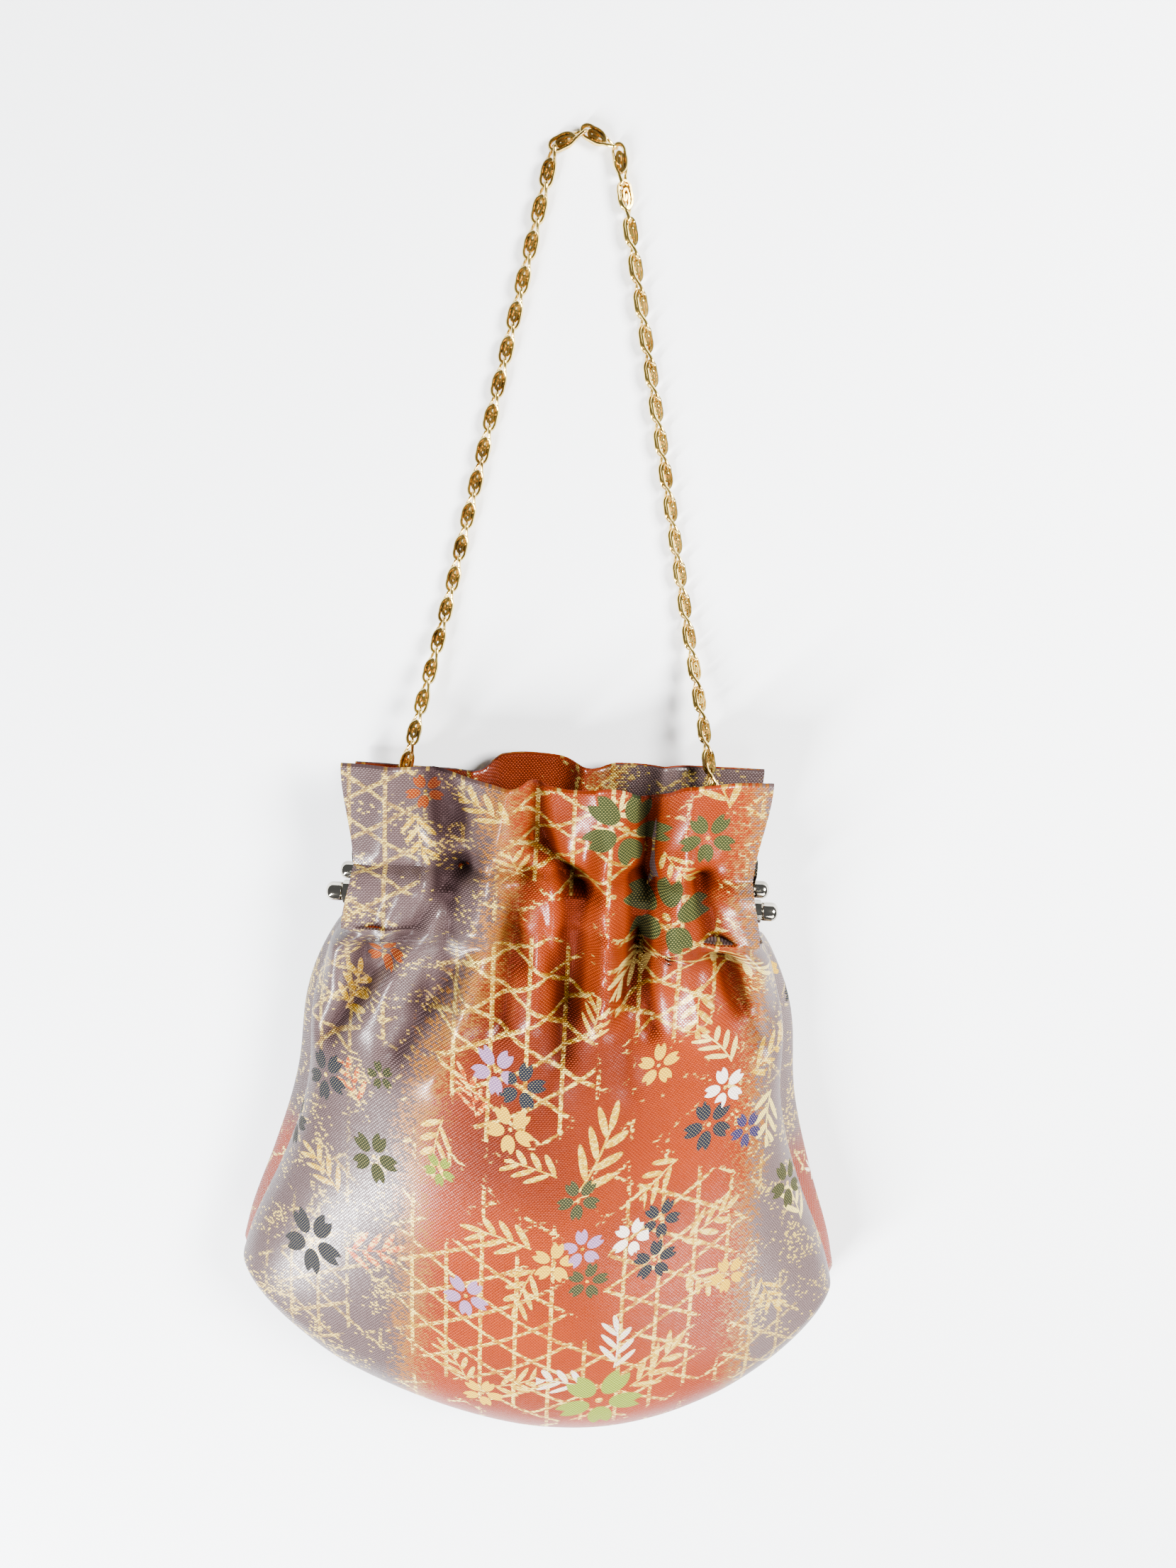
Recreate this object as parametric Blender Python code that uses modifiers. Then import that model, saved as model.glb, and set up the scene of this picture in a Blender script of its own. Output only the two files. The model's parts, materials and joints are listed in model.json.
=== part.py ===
"""A small brocade evening bag on a scroll-link chain, lying on its back.

Metres, +Z up. The bag rests on the flat of its back panel, with the origin in the middle
of that flat. +Y runs from the bottom seam towards the mouth, +X to the wearer's left.
"""

import math

import bmesh
import bpy
from mathutils import Matrix, Vector

# Levels along the bag
ROD_LEVEL = 0.080
RIM_RISE = 0.029
STITCH_OFFSET = 0.0065
BODY_DROP = 0.142

# Width and depth of the body. Shares are of its height, from the casing down
CASING_HALF_WIDTH = 0.0441
BODY_HALF_WIDTH = 0.0743
WIDEST_DROP = 0.096
CORNER_DROP = 0.113
BOTTOM_ACROSS_POWER = 1.7
BOTTOM_DOWN_POWER = 1.4
RUFFLE_FLARE = 0.0029
SIDE_BULGE = 0.0022
SEAM_LEVEL = 0.0125
FRONT_RISE = 0.0225
BACK_FALL = 0.0165
SEAM_GAP = 0.0003
SLIT_HALF_GAP = 0.0022
SLIT_SHARES = (0.05, 0.18)
GATHERED_SHARE = 0.05
EDGE_SHARE = 0.15
NECK_SHARE = 0.16
FULL_SHARE = 0.55
ACROSS_CROWN_POWER = 0.40
DOWN_CROWN_POWERS = (5, 0.50)
SAG = 0.10
# Shares of the drop from the rods to the widest place, and of the growth in half width
SHOULDERS = (
    (0.06, 0.11), (0.145, 0.29), (0.31, 0.48), (0.52, 0.58), (0.73, 0.76), (0.90, 0.93), (1.0, 1.0),
)

# Cloth
WALL = 0.0010
RUFFLE_WALL = 0.0013
CASING_DEPTH = 0.0068
CASING_FACING = 0.0031
RUFFLE_LIFT = 0.0022
FOLD_IN_CASING = 0.35
FOLD_FADE = 0.35
LINING_WALL = 0.0006
LINING_GAP = 0.0018
LINING_DROP = 0.0085
LINING_SIDE_DROP = 0.0260

# Frame
ROD_SPACING = 0.0150
ROD_RADIUS = 0.0015
ROD_END_RADIUS = 0.0010
BALL_RADIUS = 0.0021
BALL_LENGTH = 0.0032
ARM_THICKNESS = 0.0008
ARM_WIDTH = 0.0040
EYE_RADIUS = 0.0026
HINGE_DROP = 0.0140
EYE_PROUD = 0.0001
PIN_RADIUS = 0.0008
PIN_HEAD_RADIUS = 0.0015
PIN_HEAD_THICKNESS = 0.0005
FIT = 0.0003

# Chain
WIRE_RADIUS = 0.00030
LINK_PITCH = 0.00713
COIL_HALF_WIDTH = 0.00120
COIL_LENGTH = 0.0052
COIL_OFFSET = 0.00040
BEND_OFFSET = 0.00138
LINK_SLACK = 0.00025
EAR_BAR_RADIUS = 0.0004
EAR_HALF_HEIGHT = 0.0017
EAR_WIDTH = 0.0050
EAR_THICKNESS = 0.0006
LINKS_INSIDE = 3
LINKS_A_SIDE = 19
LINKS_ON_TOP = 2
MOUTH_HALF_GAP = 0.0347
EAR_REACH = 0.0009
CHAIN_LEVEL = 0.0105
CHAIN_ON_FLOOR = 0.0019
DESCENT = (1, 2, 3, 3, 2, 1)
TWIST_STEP = math.radians(20)
TWIST_OUTSIDE = math.radians(72)
TWIST_INSIDE = math.radians(6)

# How fine the cloth is
FRONT_COLUMNS = 28
BACK_COLUMNS = 18
RUFFLE_ROWS = 4
CASING_ROWS = 3
BODY_ROWS = 12
LINING_COLUMNS = 12
LINING_ROWS = 6
ROUND_SIDES = 12
SHARP_ANGLE = math.radians(50)

FRONT, BACK = 1, -1
LEFT, RIGHT = -1, 1

# Folds: where each starts and ends, across the cloth as a share of the casing's half width
# and along it in metres, then its half width and its depth in metres (a ridge is above zero)
FRONT_FOLDS = (
    ((-0.624, 0.112), (-0.556, 0.096), 0.0040, -0.0030),
    ((-0.102, 0.112), (-0.079, 0.095), 0.0026, -0.0030),
    ((-0.079, 0.095), (0.159, 0.083), 0.0026, -0.0034),
    ((0.465, 0.112), (0.476, 0.083), 0.0024, -0.0046),
    ((0.476, 0.083), (0.431, 0.066), 0.0026, -0.0032),
    ((0.159, 0.083), (0.091, 0.056), 0.0028, -0.0030),
    ((-0.522, 0.086), (-1.134, 0.046), 0.0032, -0.0026),
    ((-0.635, 0.073), (-0.907, 0.052), 0.0026, -0.0012),
    ((-0.385, 0.068), (-0.703, 0.050), 0.0028, -0.0018),
    ((0.717, 0.086), (0.839, 0.070), 0.0024, -0.0022),
    ((0.839, 0.070), (1.134, 0.048), 0.0032, -0.0016),
    ((-0.227, 0.084), (-0.136, 0.066), 0.0026, -0.0018),
    ((-0.862, 0.112), (-0.907, 0.090), 0.0050, 0.0010),
    ((-0.295, 0.110), (-0.272, 0.092), 0.0040, 0.0018),
    ((0.227, 0.110), (0.272, 0.092), 0.0050, 0.0022),
    ((0.748, 0.112), (0.748, 0.092), 0.0060, 0.0014),
    ((0.295, 0.080), (0.272, 0.058), 0.0034, 0.0014),
)
BACK_FOLDS = (
    ((-0.454, 0.112), (-0.408, 0.088), 0.0032, -0.0030),
    ((0.136, 0.112), (0.091, 0.086), 0.0030, -0.0034),
    ((0.544, 0.112), (0.499, 0.088), 0.0030, -0.0028),
    ((-0.408, 0.088), (-0.680, 0.060), 0.0034, -0.0018),
    ((0.091, 0.086), (0.000, 0.062), 0.0032, -0.0020),
    ((0.499, 0.088), (0.771, 0.060), 0.0034, -0.0018),
)


def start_scene():
    """Empties the scene and makes a collection for the parts and one for the cutters."""
    for old in list(bpy.data.objects):
        bpy.data.objects.remove(old, do_unlink=True)
    collections = []
    for name in ("evening_bag", "cutters"):
        collection = bpy.data.collections.new(name)
        bpy.context.scene.collection.children.link(collection)
        collections.append(collection)
    return collections


parts, cutters = start_scene()


def make_material(name, colour, roughness, metallic):
    material = bpy.data.materials.new(name)
    material.use_nodes = True
    shader = material.node_tree.nodes["Principled BSDF"]
    shader.inputs["Base Color"].default_value = (*colour, 1)
    shader.inputs["Roughness"].default_value = roughness
    shader.inputs["Metallic"].default_value = metallic
    material.diffuse_color = (*colour, 1)
    return material


brocade = make_material("orange_brocade", (0.62, 0.17, 0.07), 0.55, 0.0)
lining_cloth = make_material("lining_cloth", (0.55, 0.20, 0.10), 0.70, 0.0)
nickel = make_material("dark_nickel", (0.30, 0.29, 0.27), 0.18, 1.0)
gold = make_material("gold_plate", (0.86, 0.62, 0.24), 0.22, 1.0)


def add_object(name, mesh, material, collection=parts):
    mesh.materials.clear()
    mesh.materials.append(material)
    made = bpy.data.objects.new(name, mesh)
    collection.objects.link(made)
    return made


def finish_mesh(bm, name):
    mesh = bpy.data.meshes.new(name)
    bmesh.ops.recalc_face_normals(bm, faces=bm.faces)
    bm.to_mesh(mesh)
    bm.free()
    mesh.shade_smooth()
    mesh.set_sharp_from_angle(angle=SHARP_ANGLE)
    return mesh


def smooth_step(low, high, value):
    t = min(max((value - low) / (high - low), 0.0), 1.0)
    return t * t * (3 - 2 * t)


def mix(a, b, share):
    return a + (b - a) * share


# Shape of the cloth

def along_curve(stations, position):
    """Height of a smooth curve through (position, height) stations."""
    last = len(stations) - 1
    n = 0
    while n < last - 1 and position > stations[n + 1][0]:
        n += 1
    (x1, y1), (x2, y2) = stations[n], stations[n + 1]
    x0, y0 = stations[max(n - 1, 0)]
    x3, y3 = stations[min(n + 2, last)]
    slope1 = (y2 - y0) / (x2 - x0)
    slope2 = (y3 - y1) / (x3 - x1)
    span = x2 - x1
    t = min(max((position - x1) / span, 0.0), 1.0)
    start = (1 + 2 * t) * (1 - t) ** 2 * y1 + t * (1 - t) ** 2 * span * slope1
    return start + t * t * (3 - 2 * t) * y2 + t * t * (t - 1) * span * slope2


def body_half_width(drop):
    """Half width of the body's outline at a drop below the rods."""
    if drop >= WIDEST_DROP:
        share = min((drop - WIDEST_DROP) / (BODY_DROP - WIDEST_DROP), 1.0)
        return BODY_HALF_WIDTH * (1 - share**BOTTOM_DOWN_POWER) ** (1 / BOTTOM_ACROSS_POWER)
    return mix(CASING_HALF_WIDTH, BODY_HALF_WIDTH, along_curve(SHOULDERS, drop / WIDEST_DROP))


def bottom_drop(x, half_width):
    """Drop below the rods of the bottom seam at a place across the bag."""
    share = min(abs(x) / half_width, 1.0)
    below = (1 - share**BOTTOM_ACROSS_POWER) ** (1 / BOTTOM_DOWN_POWER)
    return mix(WIDEST_DROP, BODY_DROP, below)


def evenly(u):
    """Evenly spread place, -1 to 1, of a column whose u crowds towards the seams."""
    return 1 - 2 * math.acos(u) / math.pi


def body_point(side, u, t, inset=0.0):
    """Unfolded outer surface of the body: u from seam to seam, t from casing to bottom."""
    top = STITCH_OFFSET
    edge_drop = mix(top, CORNER_DROP, t)
    half_width = body_half_width(edge_drop) - inset
    rounded = smooth_step(0.0, EDGE_SHARE, t)
    bulge = math.sqrt(half_width * SIDE_BULGE / 2) * rounded
    edge = half_width - SIDE_BULGE * rounded
    across = edge * u + 2 * bulge * u * math.sqrt(max(1 - u * u, 0.0))
    x = mix(CASING_HALF_WIDTH * evenly(u), across, smooth_step(0.0, GATHERED_SHARE, t))
    corner_half = body_half_width(CORNER_DROP)
    floor_drop = bottom_drop(u * corner_half, BODY_HALF_WIDTH) - inset
    sag = SAG * t * t * math.sqrt(max(1 - t * t, 0.0)) * smooth_step(1.0, 0.6, abs(u))
    y = ROD_LEVEL - mix(top, floor_drop, t + sag)
    rise = FRONT_RISE if side == FRONT else BACK_FALL
    down_power, outer_power = DOWN_CROWN_POWERS
    crown = max(1 - u * u, 0.0) ** ACROSS_CROWN_POWER * (1 - t**down_power) ** outer_power
    neck = ROD_SPACING / 2 + RUFFLE_LIFT
    fullness = mix(neck, rise, smooth_step(0.0, FULL_SHARE, t)) - inset
    height = mix(neck - inset, fullness * crown, smooth_step(0.0, NECK_SHARE, t))
    slit = SEAM_GAP / 2 + SLIT_HALF_GAP * (1 - smooth_step(*SLIT_SHARES, t))
    z = SEAM_LEVEL + side * max(height, slit)
    return Vector((x, y, max(z, 0.0) if side == BACK else z))


def fold_depth(folds, x, y):
    """Sum of the folds at one place on the cloth."""
    total = 0.0
    here = Vector((x, y))
    for start, end, width, depth in folds:
        start = Vector((start[0] * CASING_HALF_WIDTH, start[1]))
        run = Vector((end[0] * CASING_HALF_WIDTH, end[1])) - start
        t = (here - start).dot(run) / run.length_squared
        along = min(max(t, 0.0), 1.0)
        distance = (here - start - run * along).length / width
        total += depth * math.exp(-distance * distance)
    return total


def in_casing(drop):
    """1 along the rod, falling to 0 at the two stitch lines."""
    return 1 - smooth_step(STITCH_OFFSET * 0.6, STITCH_OFFSET, abs(drop))


def panel_point(side, folds, u, drop):
    """Outer surface of a panel at u across and a drop below the rods along the cloth."""
    if drop > STITCH_OFFSET:
        t = (drop - STITCH_OFFSET) / (BODY_DROP - STITCH_OFFSET)
        point = body_point(side, u, t)
        fade = smooth_step(0.0, FOLD_FADE, 1 - abs(u))
        point.z += side * fold_depth(folds, point.x, point.y) * fade
    else:
        y = ROD_LEVEL - drop
        flare = smooth_step(-STITCH_OFFSET, -RIM_RISE, drop)
        half_width = CASING_HALF_WIDTH + RUFFLE_FLARE * flare
        x = half_width * evenly(u)
        casing = in_casing(drop)
        ruffle_level = ROD_SPACING / 2 + RUFFLE_WALL / 2
        level = mix(ruffle_level, ROD_SPACING / 2 + RUFFLE_LIFT, smooth_step(-STITCH_OFFSET, 0.0, drop))
        level += casing * (CASING_DEPTH / 2 - RUFFLE_LIFT)
        fold = fold_depth(folds, x, y) * mix(1.0, FOLD_IN_CASING, casing)
        lowest = casing * (ROD_SPACING / 2 + ROD_RADIUS + FIT + WALL)
        point = Vector((x, y, SEAM_LEVEL + side * max(level + fold, lowest)))
    if side == BACK:
        point.z = max(point.z, 0.0)
    return point


def wall_at(drop):
    """Thickness of a panel: two layers in the ruffle, rod and facing in the casing."""
    plain = RUFFLE_WALL if drop < 0 else WALL
    return mix(plain, CASING_DEPTH / 2 + CASING_FACING, in_casing(drop))


def panel_rows():
    """Drops below the rods of the rows of the grid, from the rim to the bottom seam."""
    rows = [mix(-RIM_RISE, -STITCH_OFFSET, n / RUFFLE_ROWS) for n in range(RUFFLE_ROWS)]
    rows += [mix(-STITCH_OFFSET, STITCH_OFFSET, n / CASING_ROWS) for n in range(CASING_ROWS)]
    for n in range(BODY_ROWS + 1):
        t = n / BODY_ROWS
        eased = mix(t**1.35, math.sin(t * math.pi / 2), t)
        rows.append(mix(STITCH_OFFSET, BODY_DROP, eased))
    return rows


def cloth_grid(columns, rows, place):
    """An open grid of cloth, each vertex put by place(u, row); returns the bmesh and rows."""
    bm = bmesh.new()
    bmesh.ops.create_grid(bm, x_segments=columns, y_segments=len(rows) - 1, size=1)
    row_layer = bm.verts.layers.int.new("row")
    for vert in bm.verts:
        row = round((1 - vert.co.y) / 2 * (len(rows) - 1))
        u = -math.cos((vert.co.x + 1) / 2 * math.pi)
        vert[row_layer] = row
        vert.co = place(min(max(u, -1.0), 1.0), rows[row])
    return bm, row_layer


def thicken(bm, row_layer, wall_of_row, side):
    """Gives an open grid its thickness, on the side away from its outer surface."""
    bm.normal_update()
    faces = list(bm.faces)
    if sum(face.normal.z * face.calc_area() for face in faces) * side < 0:
        bmesh.ops.reverse_faces(bm, faces=faces)
        bm.normal_update()
    normals = {vert: vert.normal.copy() for vert in bm.verts}
    inner = bmesh.ops.extrude_face_region(bm, geom=faces, use_keep_orig=True)["geom"]
    outer_at = {tuple(vert.co): vert for vert in normals}
    for vert in (item for item in inner if isinstance(item, bmesh.types.BMVert)):
        twin = outer_at[tuple(vert.co)]
        vert.co -= normals[twin] * wall_of_row(vert[row_layer])


def tunnel_for_rod(panel, side):
    """Cuts the casing's tunnel, which the rod runs through."""
    reach = 2 * CASING_HALF_WIDTH
    name = panel.name + "_tunnel"
    cut_from(panel, cylinder(name, ROD_RADIUS + FIT, -reach, reach, ROD_LEVEL, rod_height(side)))


def make_panel(name, side, folds, columns):
    """One brocade panel: ruffle, casing and body in one piece of cloth."""
    rows = panel_rows()
    bm, row_layer = cloth_grid(columns, rows, lambda u, drop: panel_point(side, folds, u, drop))
    thicken(bm, row_layer, lambda row: wall_at(rows[row]), side)
    panel = add_object(name, finish_mesh(bm, name), brocade)
    tunnel_for_rod(panel, side)
    return panel


def lining_point(side, u, t):
    """Outer surface of the lining, which hangs from the casings and is open at the top."""
    top = mix(LINING_DROP, LINING_SIDE_DROP, smooth_step(0.78, 0.93, abs(u)))
    start = (top - STITCH_OFFSET) / (BODY_DROP - STITCH_OFFSET)
    down = mix(start, 1.0, t)
    deepest = max(abs(depth) for *_, depth in FRONT_FOLDS)
    inset = WALL + LINING_GAP + deepest * 0.9 * (1 - smooth_step(0.1, 0.5, down))
    point = body_point(side, u, min(down, 1.0), inset)
    if t >= 1 or abs(u) >= 1:
        point.z = SEAM_LEVEL
    if side == BACK:
        point.z = max(point.z, WALL + LINING_GAP)
    return point


def make_lining():
    """The lining, one sack sewn from two cloths."""
    rows = [math.sin(n / LINING_ROWS * math.pi / 2) for n in range(LINING_ROWS + 1)]
    lining = bmesh.new()
    for side in (FRONT, BACK):
        half, _ = cloth_grid(LINING_COLUMNS, rows, lambda u, t, side=side: lining_point(side, u, t))
        half_mesh = bpy.data.meshes.new("half")
        half.to_mesh(half_mesh)
        half.free()
        lining.from_mesh(half_mesh)
        bpy.data.meshes.remove(half_mesh)
    bmesh.ops.remove_doubles(lining, verts=lining.verts, dist=0.00005)
    made = add_object("lining", finish_mesh(lining, "lining"), lining_cloth)
    wall = made.modifiers.new("wall", "SOLIDIFY")
    wall.thickness = LINING_WALL
    wall.offset = -1
    return made


# Frame

def rod_height(side):
    return SEAM_LEVEL + side * ROD_SPACING / 2


def arm_plane(side, hand):
    """Middle of an arm's plate across the bag: the front arms lie inside the back ones."""
    inner = CASING_HALF_WIDTH + FIT
    first = inner + ARM_THICKNESS / 2
    return hand * (first if side == FRONT else first + ARM_THICKNESS + FIT)


def eye_end():
    """Distance from the middle to the outer end of an arm's eye."""
    return CASING_HALF_WIDTH + FIT + 2 * ARM_THICKNESS + FIT


def turned(name, profile, material, centre):
    """A round piece along X, from (distance along, radius) pairs read from left to right."""
    bm = bmesh.new()
    verts = [bm.verts.new((along, 0, radius)) for along, radius in profile]
    for first, second in zip(verts, verts[1:]):
        bm.edges.new((first, second))
    bmesh.ops.spin(
        bm, geom=bm.verts[:] + bm.edges[:], cent=(0, 0, 0), axis=(1, 0, 0),
        angle=2 * math.pi, steps=ROUND_SIDES, use_merge=True,
    )
    bmesh.ops.remove_doubles(bm, verts=bm.verts, dist=0.00001)
    made = add_object(name, finish_mesh(bm, name), material)
    made.location = centre
    return made


def ball_profile(start, direction):
    """Domed end from its flat shoulder outwards, as (distance along, radius) pairs."""
    straight = BALL_LENGTH - BALL_RADIUS
    points = [(start, BALL_RADIUS * 0.86), (start + direction * 0.0003, BALL_RADIUS)]
    for step in range(5):
        angle = step / 4 * math.pi / 2
        along = straight + BALL_RADIUS * math.sin(angle)
        points.append((start + direction * along, BALL_RADIUS * math.cos(angle)))
    return points


def make_rod(name, side):
    """A rod with a fixed ball at its left end and a plain spigot at its right."""
    shoulder = eye_end() + FIT
    ball = ball_profile(-shoulder, LEFT)[::-1]
    spigot = shoulder + BALL_LENGTH * 0.5
    profile = ball + [
        (-shoulder, ROD_RADIUS), (shoulder - FIT, ROD_RADIUS), (shoulder - FIT, ROD_END_RADIUS),
        (spigot, ROD_END_RADIUS), (spigot, 0),
    ]
    return turned(name, profile, nickel, (0, ROD_LEVEL, rod_height(side)))


def make_nut(name, side):
    """A domed nut with a blind bore, on the spigot of a rod."""
    shoulder = eye_end() + FIT
    bore = ROD_END_RADIUS + FIT * 0.7
    depth = shoulder + BALL_LENGTH * 0.5 + FIT
    profile = [(depth, 0), (depth, bore), (shoulder, bore)] + ball_profile(shoulder, RIGHT)
    return turned(name, profile, nickel, (0, ROD_LEVEL, rod_height(side)))


def union(base, other):
    join = base.modifiers.new("join", "BOOLEAN")
    join.operation = "UNION"
    join.solver = "EXACT"
    join.object = other
    other.hide_render = True
    other.display_type = "WIRE"


def cylinder(name, radius, x_from, x_to, y, z):
    """A hidden cylinder along X, to cut with or to join on."""
    bm = bmesh.new()
    bmesh.ops.create_cone(
        bm, cap_ends=True, segments=ROUND_SIDES, radius1=radius, radius2=radius,
        depth=abs(x_to - x_from), matrix=Matrix.Rotation(math.pi / 2, 4, "Y"),
    )
    made = add_object(name, finish_mesh(bm, name), nickel, cutters)
    made.location = ((x_from + x_to) / 2, y, z)
    made.hide_render = True
    made.display_type = "WIRE"
    return made


def cut_from(body, cutter):
    cut = body.modifiers.new(cutter.name, "BOOLEAN")
    cut.operation = "DIFFERENCE"
    cut.solver = "EXACT"
    cut.object = cutter


def bore(body, name, radius, y, z):
    reach = 2 * EYE_RADIUS
    middle = body.location.x
    cut_from(body, cylinder(name, radius, middle - reach, middle + reach, y, z))


def strip_outline(start, end, width, y_middle, z_middle):
    """Round-ended strip in the YZ plane, as a bmesh face lofted between two arcs."""
    run = (end - start).normalized()
    side = Vector((-run.y, run.x))
    points = []
    for centre, turn in ((start, math.pi / 2), (end, -math.pi / 2)):
        for step in range(5):
            angle = turn + step / 4 * math.pi
            offset = (run * math.cos(angle) + side * math.sin(angle)) * width / 2
            points.append(centre + offset - Vector((y_middle, z_middle)))
    return points


def make_plate(name, start, end, width, thickness, middle, collection):
    """A flat plate with round ends, standing across X."""
    bm = bmesh.new()
    outline = strip_outline(start, end, width, middle.y, middle.z)
    face = bm.faces.new([bm.verts.new((-thickness / 2, p.x, p.y)) for p in outline])
    made = bmesh.ops.extrude_face_region(bm, geom=[face], use_keep_orig=True)["geom"]
    verts = [item for item in made if isinstance(item, bmesh.types.BMVert)]
    bmesh.ops.translate(bm, verts=verts, vec=(thickness, 0, 0))
    plate = add_object(name, finish_mesh(bm, name), nickel, collection)
    plate.location = middle
    return plate


def make_arm(name, side, hand):
    """A hinge arm: a plate with an eye round the rod and a hole for the hinge pin."""
    hinge = Vector((ROD_LEVEL - HINGE_DROP, SEAM_LEVEL))
    eye = Vector((ROD_LEVEL, rod_height(side)))
    middle = Vector((arm_plane(side, hand), *hinge))
    arm = make_plate(name, eye, hinge, ARM_WIDTH, ARM_THICKNESS, middle, parts)
    eye_start = hand * (CASING_HALF_WIDTH + FIT - EYE_PROUD)
    barrel = cylinder(name + "_eye", EYE_RADIUS, eye_start, hand * (eye_end() + EYE_PROUD), eye.x, eye.y)
    union(arm, barrel)
    if side == BACK:
        bar = ear_bar(hand)
        top = Vector((bar.y, bar.z))
        root = Vector((arm_plane(BACK, hand), *eye))
        union(arm, make_plate(name + "_tab", eye, top, EAR_WIDTH, EAR_THICKNESS, root, cutters))
    bore(arm, name + "_rod_bore", ROD_RADIUS + FIT, eye.x, eye.y)
    bore(arm, name + "_pin_bore", PIN_RADIUS + FIT, hinge.x, hinge.y)
    if side == BACK:
        add_chain_staple(arm, name, bar, arm_plane(BACK, hand))
    return arm


def add_chain_staple(arm, name, bar, root):
    """The wire staple that the end of the chain hooks on."""
    reach = EAR_HALF_HEIGHT
    staple = bpy.data.curves.new(name + "_staple", "CURVE")
    staple.dimensions = "3D"
    staple.bevel_depth = EAR_BAR_RADIUS
    staple.bevel_resolution = 1
    staple.use_fill_caps = True
    line = staple.splines.new("POLY")
    stops = ((root, -reach), (bar.x, -reach), (bar.x, reach), (root, reach))
    line.points.add(len(stops) - 1)
    for point, (x, z) in zip(line.points, stops):
        point.co = (x, bar.y, bar.z + z, 1)
    curve = bpy.data.objects.new(name + "_staple", staple)
    cutters.objects.link(curve)
    union(arm, mesh_from_curve(curve, name + "_staple_mesh", nickel, cutters))


def mesh_from_curve(curve, name, material, collection):
    """Turns a curve object into a closed mesh object, and removes the curve."""
    graph = bpy.context.evaluated_depsgraph_get()
    graph.update()
    mesh = bpy.data.meshes.new_from_object(curve.evaluated_get(graph))
    bm = bmesh.new()
    bm.from_mesh(mesh)
    bmesh.ops.remove_doubles(bm, verts=bm.verts, dist=0.000005)
    bpy.data.meshes.remove(mesh)
    made = add_object(name, finish_mesh(bm, name), material, collection)
    made.matrix_world = curve.matrix_world.copy()
    bpy.data.objects.remove(curve, do_unlink=True)
    return made


def make_pin(name, hand):
    """A hinge pin with a head at each end, through both arms."""
    inner = CASING_HALF_WIDTH + FIT
    start, end = inner - FIT, eye_end() + FIT
    profile = [
        (start - PIN_HEAD_THICKNESS, 0), (start - PIN_HEAD_THICKNESS, PIN_HEAD_RADIUS * 0.8),
        (start, PIN_HEAD_RADIUS), (start, PIN_RADIUS), (end, PIN_RADIUS), (end, PIN_HEAD_RADIUS),
        (end + PIN_HEAD_THICKNESS, PIN_HEAD_RADIUS * 0.8), (end + PIN_HEAD_THICKNESS, 0),
    ]
    if hand == LEFT:
        profile = [(-along, radius) for along, radius in reversed(profile)]
    return turned(name, profile, nickel, (0, ROD_LEVEL - HINGE_DROP, SEAM_LEVEL))


# Chain

def link_path():
    """Middle line of one link: a coil, a leg, the bend that hooks the next link, and back.

    The link runs along X from the place where the last link's bend crosses its coils, at
    the origin, to its own bend, one pitch away. Y is across the coils, Z through them.
    """
    tail = -2 * WIRE_RADIUS - LINK_SLACK
    head = tail + COIL_LENGTH
    middle = (tail + head) / 2
    half = COIL_LENGTH / 2
    w = COIL_HALF_WIDTH
    near = COIL_OFFSET
    coil = [
        (middle - half * 0.20, w * 0.10, near), (middle + half * 0.36, -w * 0.34, near),
        (head, w * 0.10, near), (head - half * 0.60, w, near), (tail + half * 0.40, w, near),
        (tail, w * 0.45, near), (tail, -w * 0.45, near), (tail + half * 0.40, -w, near),
        (middle + half * 0.50, -w, near),
    ]
    leg = [(LINK_PITCH - 3 * WIRE_RADIUS, -w * 0.28, BEND_OFFSET)]
    bend = [(LINK_PITCH, -w * 0.20, BEND_OFFSET * 0.80)]
    front = coil + leg + bend
    back = [(x, -y, -z) for x, y, z in reversed(front)]
    return front + back


def link_mesh():
    """One scroll link, bent from a single wire."""
    wire = bpy.data.curves.new("scroll_wire", "CURVE")
    wire.dimensions = "3D"
    wire.bevel_depth = WIRE_RADIUS
    wire.bevel_resolution = 0
    wire.use_fill_caps = True
    points = link_path()
    line = wire.splines.new("POLY")
    line.points.add(len(points) - 1)
    for point, place in zip(line.points, points):
        point.co = (*place, 1)
    curve = bpy.data.objects.new("scroll_wire", wire)
    cutters.objects.link(curve)
    shape = mesh_from_curve(curve, "scroll_link", gold, cutters)
    mesh = shape.data
    bpy.data.objects.remove(shape, do_unlink=True)
    return mesh


def strand_lean():
    """Lean of each strand from the bag's axis, and half the gap between them at the top."""
    half_gap = 0.0
    lean = 0.0
    for _ in range(20):
        lean = math.asin((MOUTH_HALF_GAP - half_gap) / (LINKS_A_SIDE * LINK_PITCH))
        turn = (math.pi - 2 * lean) / (LINKS_ON_TOP + 1)
        half_gap = LINK_PITCH * math.cos(math.pi / 2 - lean - turn)
    return lean, half_gap


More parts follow.
